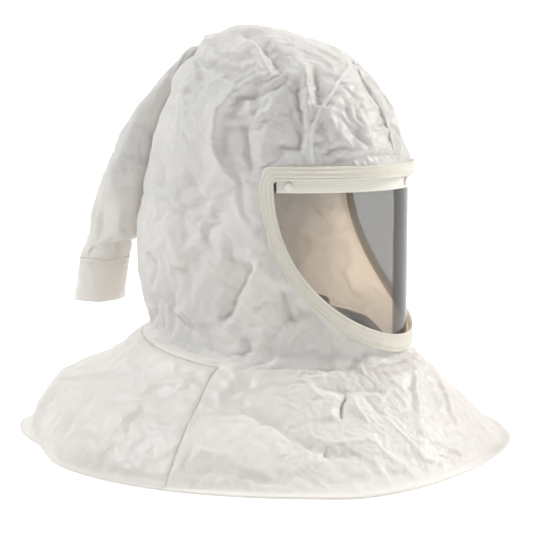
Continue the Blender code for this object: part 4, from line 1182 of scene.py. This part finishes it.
# Across the binding tape, from the opening outward: share of its width and height of its face in mm.
BINDING_FACE = [
    (0.0, 0.0), (0.0, 0.6), (0.03, 1.2), (0.1, 1.5), (0.15, 1.3), (0.18, 0.8), (0.22, 1.3), (0.3, 1.6),
    (0.42, 1.5), (0.5, 1.0), (0.58, 1.5), (0.7, 1.7), (0.78, 1.3), (0.82, 0.7), (0.86, 1.2), (0.92, 1.2),
    (0.97, 0.9), (1.0, 0.35), (1.0, 0.0),
]
STITCH_ROWS = ((0.18, 0.8), (0.82, 0.7))  # in two of the face's grooves


def on_visor(arc, z, radius):
    turn = np.asarray(arc) / VISOR_RADIUS
    return np.stack([radius * np.sin(turn), VISOR_Y - radius * np.cos(turn), np.asarray(z)], axis=-1)


def binding_edges():
    """The inner and outer edge of the binding as (arc, height), even along the edge."""
    inner = visor_outline(0, 0, 150, 90)
    outer = visor_outline(BINDING_WIDTH, BINDING_TOP_WIDTH, 150, 90)
    above = outer[:, 1] - outer[:, 1].min()
    outer[:, 1] -= BINDING_CHIN * np.clip(1 - above / BINDING_CHIN_RISE, 0, 1)
    from_corner = np.clip(VISOR_HALF_ARC + BINDING_WIDTH - np.abs(outer[:, 0]), 0, BINDING_CORNER)
    rounded = VISOR_TOP + BINDING_TOP_WIDTH - BINDING_CORNER
    rounded += np.sqrt(BINDING_CORNER**2 - (BINDING_CORNER - from_corner) ** 2)
    outer[:, 1] = np.minimum(outer[:, 1], rounded)
    keep = np.concatenate([[True], np.linalg.norm(np.diff(inner, axis=0), axis=1) > 0.4 * MM])
    return inner[keep][:-1], outer[keep][:-1]


def make_binding(tape, thread):
    inner, outer = binding_edges()
    rings = []
    for share, height in BINDING_FACE:
        arc, z = (inner + (outer - inner) * share).T
        place = on_visor(arc, z, BINDING_BASE)
        ripple = perlin(place / (16 * MM), 9) * 0.16 + perlin(place / (5 * MM), 10) * 0.07
        rings.append(on_visor(arc, z, BINDING_BASE + (height + (ripple if height > 0.3 else 0)) * MM))
    grid = np.stack(rings, axis=1)
    faces = grid_faces(*grid.shape[:2], (True, True))
    binding = mesh_object("visor_binding_tape", grid.reshape(-1, 3), faces, tape)
    face_outward(binding)
    hand_over(binding, "binding", "visor_binding")
    for number, (share, height) in enumerate(STITCH_ROWS):
        arc, z = (inner + (outer - inner) * share).T
        out = unit(on_visor(arc, z * 0, 1.0) - np.array([0, VISOR_Y, 0]))
        row = stitches(f"binding_stitches_{number + 1}", on_visor(arc, z, BINDING_BASE + height * MM),
                       out, 3.0 * MM, thread, closed=True)
        hand_over(row, "binding")


PLATE_ROWS, PLATE_COLUMNS = 14, 120


def curved_plate(name, low, high, half_angle, radius, thickness, material, bulge=None):
    """A plate on a cylinder about the visor's axis; low gives the height of its lower edge at an arc."""
    arcs = np.linspace(-half_angle, half_angle, PLATE_COLUMNS + 1) * VISOR_RADIUS
    bottoms = np.array([low(arc) for arc in arcs])
    rows = []
    for k in range(PLATE_ROWS + 1):
        share = k / PLATE_ROWS
        face = radius + (bulge(share) if bulge else 0)
        rows.append(on_visor(arcs, bottoms + (high - bottoms) * share, face))
    faces = grid_faces(PLATE_ROWS + 1, PLATE_COLUMNS + 1, (False, False))
    plate = mesh_object(name, np.reshape(rows, (-1, 3)), faces, material)
    give_thickness(plate, thickness)
    plate.data.set_sharp_from_angle(angle=math.radians(50))
    return plate


BAND_HALF_TURN = math.radians(81)


def band_roll(share):
    """The brow band's face at a share of its height: faint lines along it and a turned-in lower edge."""
    lines = 0.12 * math.cos(share * math.pi * 14) if 0.2 < share < 0.9 else 0.0
    return (lines - 0.5 * max(0, 0.12 - share) / 0.12) * MM


def make_lens(lens, band_plastic):
    low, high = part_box("visor_lens")
    half_turn = 0.985 * (VISOR_HALF_ARC + LENS_MARGIN) / VISOR_RADIUS
    film = curved_plate("visor_film", lambda arc: lower_edge(arc, LENS_MARGIN), VISOR_TOP + LENS_MARGIN,
                        half_turn, (high[0] - low[0]) / 2, 0.9 * MM, lens)
    hand_over(film, "lens", "visor_lens")
    low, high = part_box("brow_band")
    radius = (high[0] - low[0]) / 2 / math.sin(BAND_HALF_TURN)
    band = curved_plate("brow_band_strip", lambda arc: low[2], high[2], BAND_HALF_TURN, radius, 0.7 * MM,
                        band_plastic, bulge=band_roll)
    hand_over(band, "brow_band", "brow_band")


# Sleeve ------------------------------------------------------------------------------------------
# Level rings of the sleeve in mm: height, y of the rear and half width. It hangs empty and flat.
SLEEVE = [
    (411, 84, 24), (392, 108, 31), (366, 134, 35), (330, 161, 36), (285, 184, 36), (235, 204, 34),
    (181, 219, 31),
]
SLEEVE_TIP = (414, 82, 8)
SLEEVE_MOUTH = 49
SLEEVE_AROUND = 96
CUFF_TOP, CUFF_BOTTOM, CUFF_FLARE, CUFF_HALF_WIDTH = 181, 133, 7, 31
# Down the cuff: height in mm and how far it stands out from the sleeve in mm.
CUFF_FACE = [(CUFF_TOP, 0.2), (CUFF_TOP - 0.2, 0.9), (CUFF_TOP - 3, 1.2), (CUFF_TOP - 6, 0.6)]
CUFF_FACE += [(z, 1.0) for z in range(CUFF_TOP - 10, CUFF_BOTTOM + 9, -4)]
CUFF_FACE += [(CUFF_BOTTOM + 7, 0.5), (CUFF_BOTTOM + 3, 1.3), (CUFF_BOTTOM + 0.4, 1.1), (CUFF_BOTTOM, 0.3)]
# Dents and ridges of the sleeve: mm outward, spread in mm, then (turn in degrees, height in mm) points.
SLEEVE_FOLDS = [
    (-6, 9, [(252, 235), (262, 210), (268, 184)]),
    (4, 7, [(285, 240), (292, 212), (296, 186)]),
    (-5, 10, [(98, 238), (92, 212), (90, 186)]),
    (3.0, 9, [(250, 350), (262, 318), (258, 286)]),
    (-3.2, 8, [(230, 362), (238, 330), (240, 298)]),
    (-3.0, 7, [(290, 330), (276, 300), (282, 262)]),
    (2.5, 6, [(240, 278), (262, 270), (284, 276)]),
    (-3.0, 7, [(215, 300), (222, 260), (226, 215)]),
    (3.0, 8, [(200, 330), (196, 280), (205, 230)]),
    (-3.5, 8, [(165, 340), (158, 290), (165, 240)]),
    (3.0, 8, [(120, 330), (112, 290), (118, 250)]),
    (-3.0, 6, [(262, 388), (240, 380), (222, 372)]),
    (2.4, 6, [(140, 385), (120, 372), (100, 362)]),
]


def flat_ring(front, rear, half_width, z, squareness=0.8):
    """Level ring, squarer than an ellipse, from the front round by the wearer's left, in mm."""
    turn = np.arange(SLEEVE_AROUND) / SLEEVE_AROUND * 2 * math.pi
    across, along = np.sin(turn), np.cos(turn)
    x = half_width * np.sign(across) * np.abs(across) ** squareness
    y = (front + rear) / 2 - (rear - front) / 2 * np.sign(along) * np.abs(along) ** squareness
    return np.stack([x, y, np.full(SLEEVE_AROUND, z)], axis=1) * MM


def catmull(table, places):
    """A smooth curve through the table's rows, read where its falling first column is places."""
    table = np.array(table, float)
    row = np.interp(-np.asarray(places, float), -table[:, 0], np.arange(len(table)))
    i = np.minimum(row.astype(int), len(table) - 2)
    f = (row - i)[:, None]
    return cubic(*(table[np.clip(i + k, 0, len(table) - 1)] for k in (-1, 0, 1, 2)), f)


def sleeve_surface():
    """Rows of points down the sleeve, each a closed ring, and their heights in mm."""
    heights = np.concatenate([[413, 412], np.arange(410, CUFF_TOP - 1, -3.0)])
    behind = np.full(len(heights), math.pi)
    backs = hood_points(behind, t_at_height(behind, heights * MM))[:, 1] / MM
    rows = []
    for (z, rear, half_width), back in zip(catmull([SLEEVE_TIP] + SLEEVE, heights), backs):
        hanging = smooth_step(z, 200, 214)
        front = (rear - SLEEVE_MOUTH) * (1 - hanging) + (back + 1.0) * hanging
        rows.append(flat_ring(min(front, rear - 4), rear, half_width, z))
    return np.array(rows), heights


def open_tube(name, rings, material):
    """A tube through closed rings, faced outward, with its points and its outward directions."""
    tube = mesh_object(name, rings.reshape(-1, 3), grid_faces(*rings.shape[:2]), material)
    face_outward(tube)
    places, outward = rings.reshape(-1, 3), normals(tube.data)
    middle = np.repeat(rings.mean(axis=1), rings.shape[1], axis=0)
    if ((places - middle) * outward).sum() < 0:
        outward = flipped(tube.data)
    return tube, places, outward


def sleeve_lifts(places, grid, heights):
    """How far the sleeve's folds and crumples move each of its points outward."""
    lift = crumple(places, 31, 0.8) * 0.8
    even = np.linspace(0, 1, 30)
    for rise, spread, line in SLEEVE_FOLDS:
        turns, levels = (np.interp(even, np.linspace(0, 1, len(line)), values) for values in zip(*line))
        row = np.interp(-levels, -heights, np.arange(len(heights))).round().astype(int)
        column = (turns / 360 * SLEEVE_AROUND).round().astype(int) % SLEEVE_AROUND
        lift += rise * MM * crest(distance_to(places, grid[row, column]) / (spread * MM), 0.2)
    return lift


def make_sleeve(fabric, painted_shade_inside):
    grid, heights = sleeve_surface()
    sleeve, places, outward = open_tube("breathing_tube_sleeve", grid, fabric)
    z = places[:, 2] / MM
    keep = smooth_step(z, CUFF_TOP, CUFF_TOP + 14) * smooth_step(z, 414, 400)
    lift = sleeve_lifts(places, grid, heights) * keep
    rear_edge = grid[:, :, 1].max(axis=1).repeat(SLEEVE_AROUND)
    lift = np.where(places[:, 1] > rear_edge - 4 * MM, np.minimum(lift, 2.5 * MM), lift)
    set_coordinates(sleeve.data, places + outward * lift[:, None])
    settle(sleeve, np.clip(1.08 - keep, 0.08, 1), growth=0.04, frames=14, most=3 * MM, gravity=0.3)
    sleeve.data.materials.append(painted_shade_inside)
    give_thickness(sleeve, FABRIC_THICKNESS, 1)
    hand_over(sleeve, "fabric", "tube_sleeve")


def make_cuff(fabric, painted_shade_inside, thread):
    rear = SLEEVE[-1][1]
    rings = []
    for z, proud in CUFF_FACE:
        flare = CUFF_FLARE * (CUFF_TOP - z) / (CUFF_TOP - CUFF_BOTTOM)
        rings.append(flat_ring(rear - SLEEVE_MOUTH + flare - proud, rear + flare + proud,
                               CUFF_HALF_WIDTH + proud, z))
    cuff, places, outward = open_tube("sleeve_cuff_band", np.array(rings), fabric)
    z = places[:, 2] / MM
    edge = smooth_step(z, CUFF_TOP, CUFF_TOP - 9) * smooth_step(z, CUFF_BOTTOM, CUFF_BOTTOM + 9)
    swell = creases(places, 34 * MM, 71, 1.4) * 1.3 + perlin(places / (30 * MM), 72) * 1.1 - 0.8
    set_coordinates(cuff.data, places + outward * (swell * (0.25 + 0.75 * edge) * MM)[:, None])
    cuff.data.materials.append(painted_shade_inside)
    give_thickness(cuff, 0.9 * MM, 1)
    hand_over(cuff, "fabric", "sleeve_cuff")
    shape = coordinates(cuff.data)[:len(places)].reshape(len(rings), SLEEVE_AROUND, 3)
    for name, row in (("cuff_top_stitches", 3), ("cuff_hem_stitches", len(rings) - 4)):
        ring = shape[row]
        outs = unit((ring - ring.mean(axis=0)) * np.array([1, 1, 0]))
        line = stitches(name, ring + outs * 0.1 * MM, outs, 3.2 * MM, thread, closed=True)
        hand_over(line, "fabric")


# Inside ------------------------------------------------------------------------------------------
ELASTIC_LOW, ELASTIC_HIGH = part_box("collar_elastic")
ELASTIC_RADII = [(ELASTIC_HIGH[k] - ELASTIC_LOW[k]) / 2 - 2 * MM for k in (0, 1)]
ELASTIC_MIDDLE = (ELASTIC_LOW[1] + ELASTIC_HIGH[1]) / 2
COLLAR_AROUND, COLLAR_STEPS = 240, 22
COLLAR_TURN = np.arange(COLLAR_AROUND) / COLLAR_AROUND * 2 * math.pi
COLLAR_TOP = ELASTIC_HIGH[2] - 17 * MM
# Round the elastic's section: share of its height, and how far it stands out in mm.
ELASTIC_FACE = [
    (0.0, 0.4), (0.04, 1.2), (0.12, 1.7), (0.3, 1.5), (0.5, 1.9), (0.7, 1.5), (0.88, 1.7), (0.96, 1.2),
    (1.0, 0.4), (0.96, -0.4), (0.5, -0.6), (0.04, -0.4),
]


def neck_ring(reach, z):
    """A level ring round the neck, that far outside the elastic's middle."""
    return np.stack([(ELASTIC_RADII[0] + reach) * np.sin(COLLAR_TURN),
                     ELASTIC_MIDDLE - (ELASTIC_RADII[1] + reach) * np.cos(COLLAR_TURN),
                     np.full(COLLAR_AROUND, z)], axis=1)


def make_collar(cloth):
    """The inner neck collar: a gathered sheet from the neck seam in to its elastic."""
    outer = hood_points(COLLAR_TURN, np.full(COLLAR_AROUND, NECK - 0.3))
    outer = outer + unit((outer.mean(axis=0) - outer) * np.array([1, 1, 0])) * 8 * MM
    inner = neck_ring(0, ELASTIC_LOW[2])
    pleats = np.sin(COLLAR_TURN * 34 + 1.6 * np.sin(COLLAR_TURN * 5)) + 0.5 * np.sin(COLLAR_TURN * 57 + 1)
    rows = []
    for k in range(COLLAR_STEPS + 1):
        share = k / COLLAR_STEPS
        row = outer + (inner - outer) * share
        rise = (COLLAR_TOP - outer[:, 2]) * math.sin(math.pi / 2 * min(1, share * 1.6)) ** 2
        row[:, 2] = outer[:, 2] + rise + (ELASTIC_LOW[2] - COLLAR_TOP) * max(0, share - 0.62) / 0.38
        row[:, 2] += pleats * 1.5 * MM * math.sin(math.pi * share) * (0.4 + share)
        rows.append(row)
    faces = grid_faces(COLLAR_STEPS + 1, COLLAR_AROUND)
    collar = mesh_object("neck_collar_cloth", np.reshape(rows, (-1, 3)), faces, cloth)
    face_outward(collar)
    give_thickness(collar, 0.4 * MM)
    hand_over(collar, "fabric", "inner_collar")


def make_collar_elastic(elastic):
    tall = ELASTIC_HIGH[2] - ELASTIC_LOW[2]
    gathers = np.sin(COLLAR_TURN * 60) * 0.35 + np.sin(COLLAR_TURN * 37 + 2) * 0.25
    rings = [neck_ring((proud + gathers * (1 if proud > 0 else 0.3)) * MM, ELASTIC_LOW[2] + tall * share)
             for share, proud in ELASTIC_FACE]
    faces = grid_faces(COLLAR_AROUND, len(ELASTIC_FACE), (True, True))
    band = mesh_object("collar_elastic_band", np.stack(rings, axis=1).reshape(-1, 3), faces, elastic)
    face_outward(band)
    hand_over(band, "elastic", "collar_elastic")


def soft_pad(name, node_name, material, puff, body="root"):
    """A padded piece grown from its CAD solid's own mesh: rounded, slightly swollen and uneven."""
    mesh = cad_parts[node_name].data.copy()
    pad = link(bpy.data.objects.new(name, mesh))
    mesh.materials.clear()
    mesh.materials.append(material)
    bake(pad, "REMESH", mode="VOXEL", voxel_size=1.0 * MM)
    bake(pad, "SMOOTH", factor=0.6, iterations=6)
    places, outward = coordinates(pad.data), normals(pad.data)
    move = perlin(places / (9 * MM), 51) * 0.15 * MM + puff
    set_coordinates(pad.data, places + outward * move[:, None])
    pad.data.shade_smooth()
    hand_over(pad, "foam", node_name, body=body)


def main():
    make_camera()
    make_studio()
    fabric = fabric_material("coated_fabric", (0.88, 0.88, 0.865), 0.36, 1.15)
    # The inside faces' tan colour is painted warm shade: it stands in for the light that reaches the inside
    # through the smoke lens and the fabric.
    painted_shade_inside = fabric_material("fabric_inside", (0.78, 0.63, 0.50), 0.7, 2.6)
    thread = new_material("sewing_thread", (0.80, 0.78, 0.72), 0.6)[0]
    tree, seams = make_hood(fabric, painted_shade_inside)
    make_seams(tree, seams, fabric, thread)
    make_binding(tape_material(), thread)
    make_lens(lens_material(), band_material())
    make_sleeve(fabric, painted_shade_inside)
    make_cuff(fabric, painted_shade_inside, thread)
    make_collar(fabric_material("collar_fabric", (0.74, 0.73, 0.70), 0.2))
    make_collar_elastic(woven("ribbed_elastic", (0.78, 0.77, 0.73), 420.0, 0.7, 0.4))
    soft_pad("sweatband_pad", "sweatband", pad_material("sweatband_cotton", (0.16, 0.17, 0.18)), 0.1 * MM)
    soft_pad("nape_cushion", "nape_pad", pad_material("nape_foam", (0.14, 0.15, 0.16)), 0.1 * MM,
             "nape_carriage")
    soft_pad("diffuser_foam", "air_diffuser_foam", pad_material("open_foam", (0.30, 0.30, 0.30)), 0.0)
    for names, material in carried_over().items():
        for node_name in names.split():
            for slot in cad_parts[node_name].material_slots:
                slot.material = material


main()
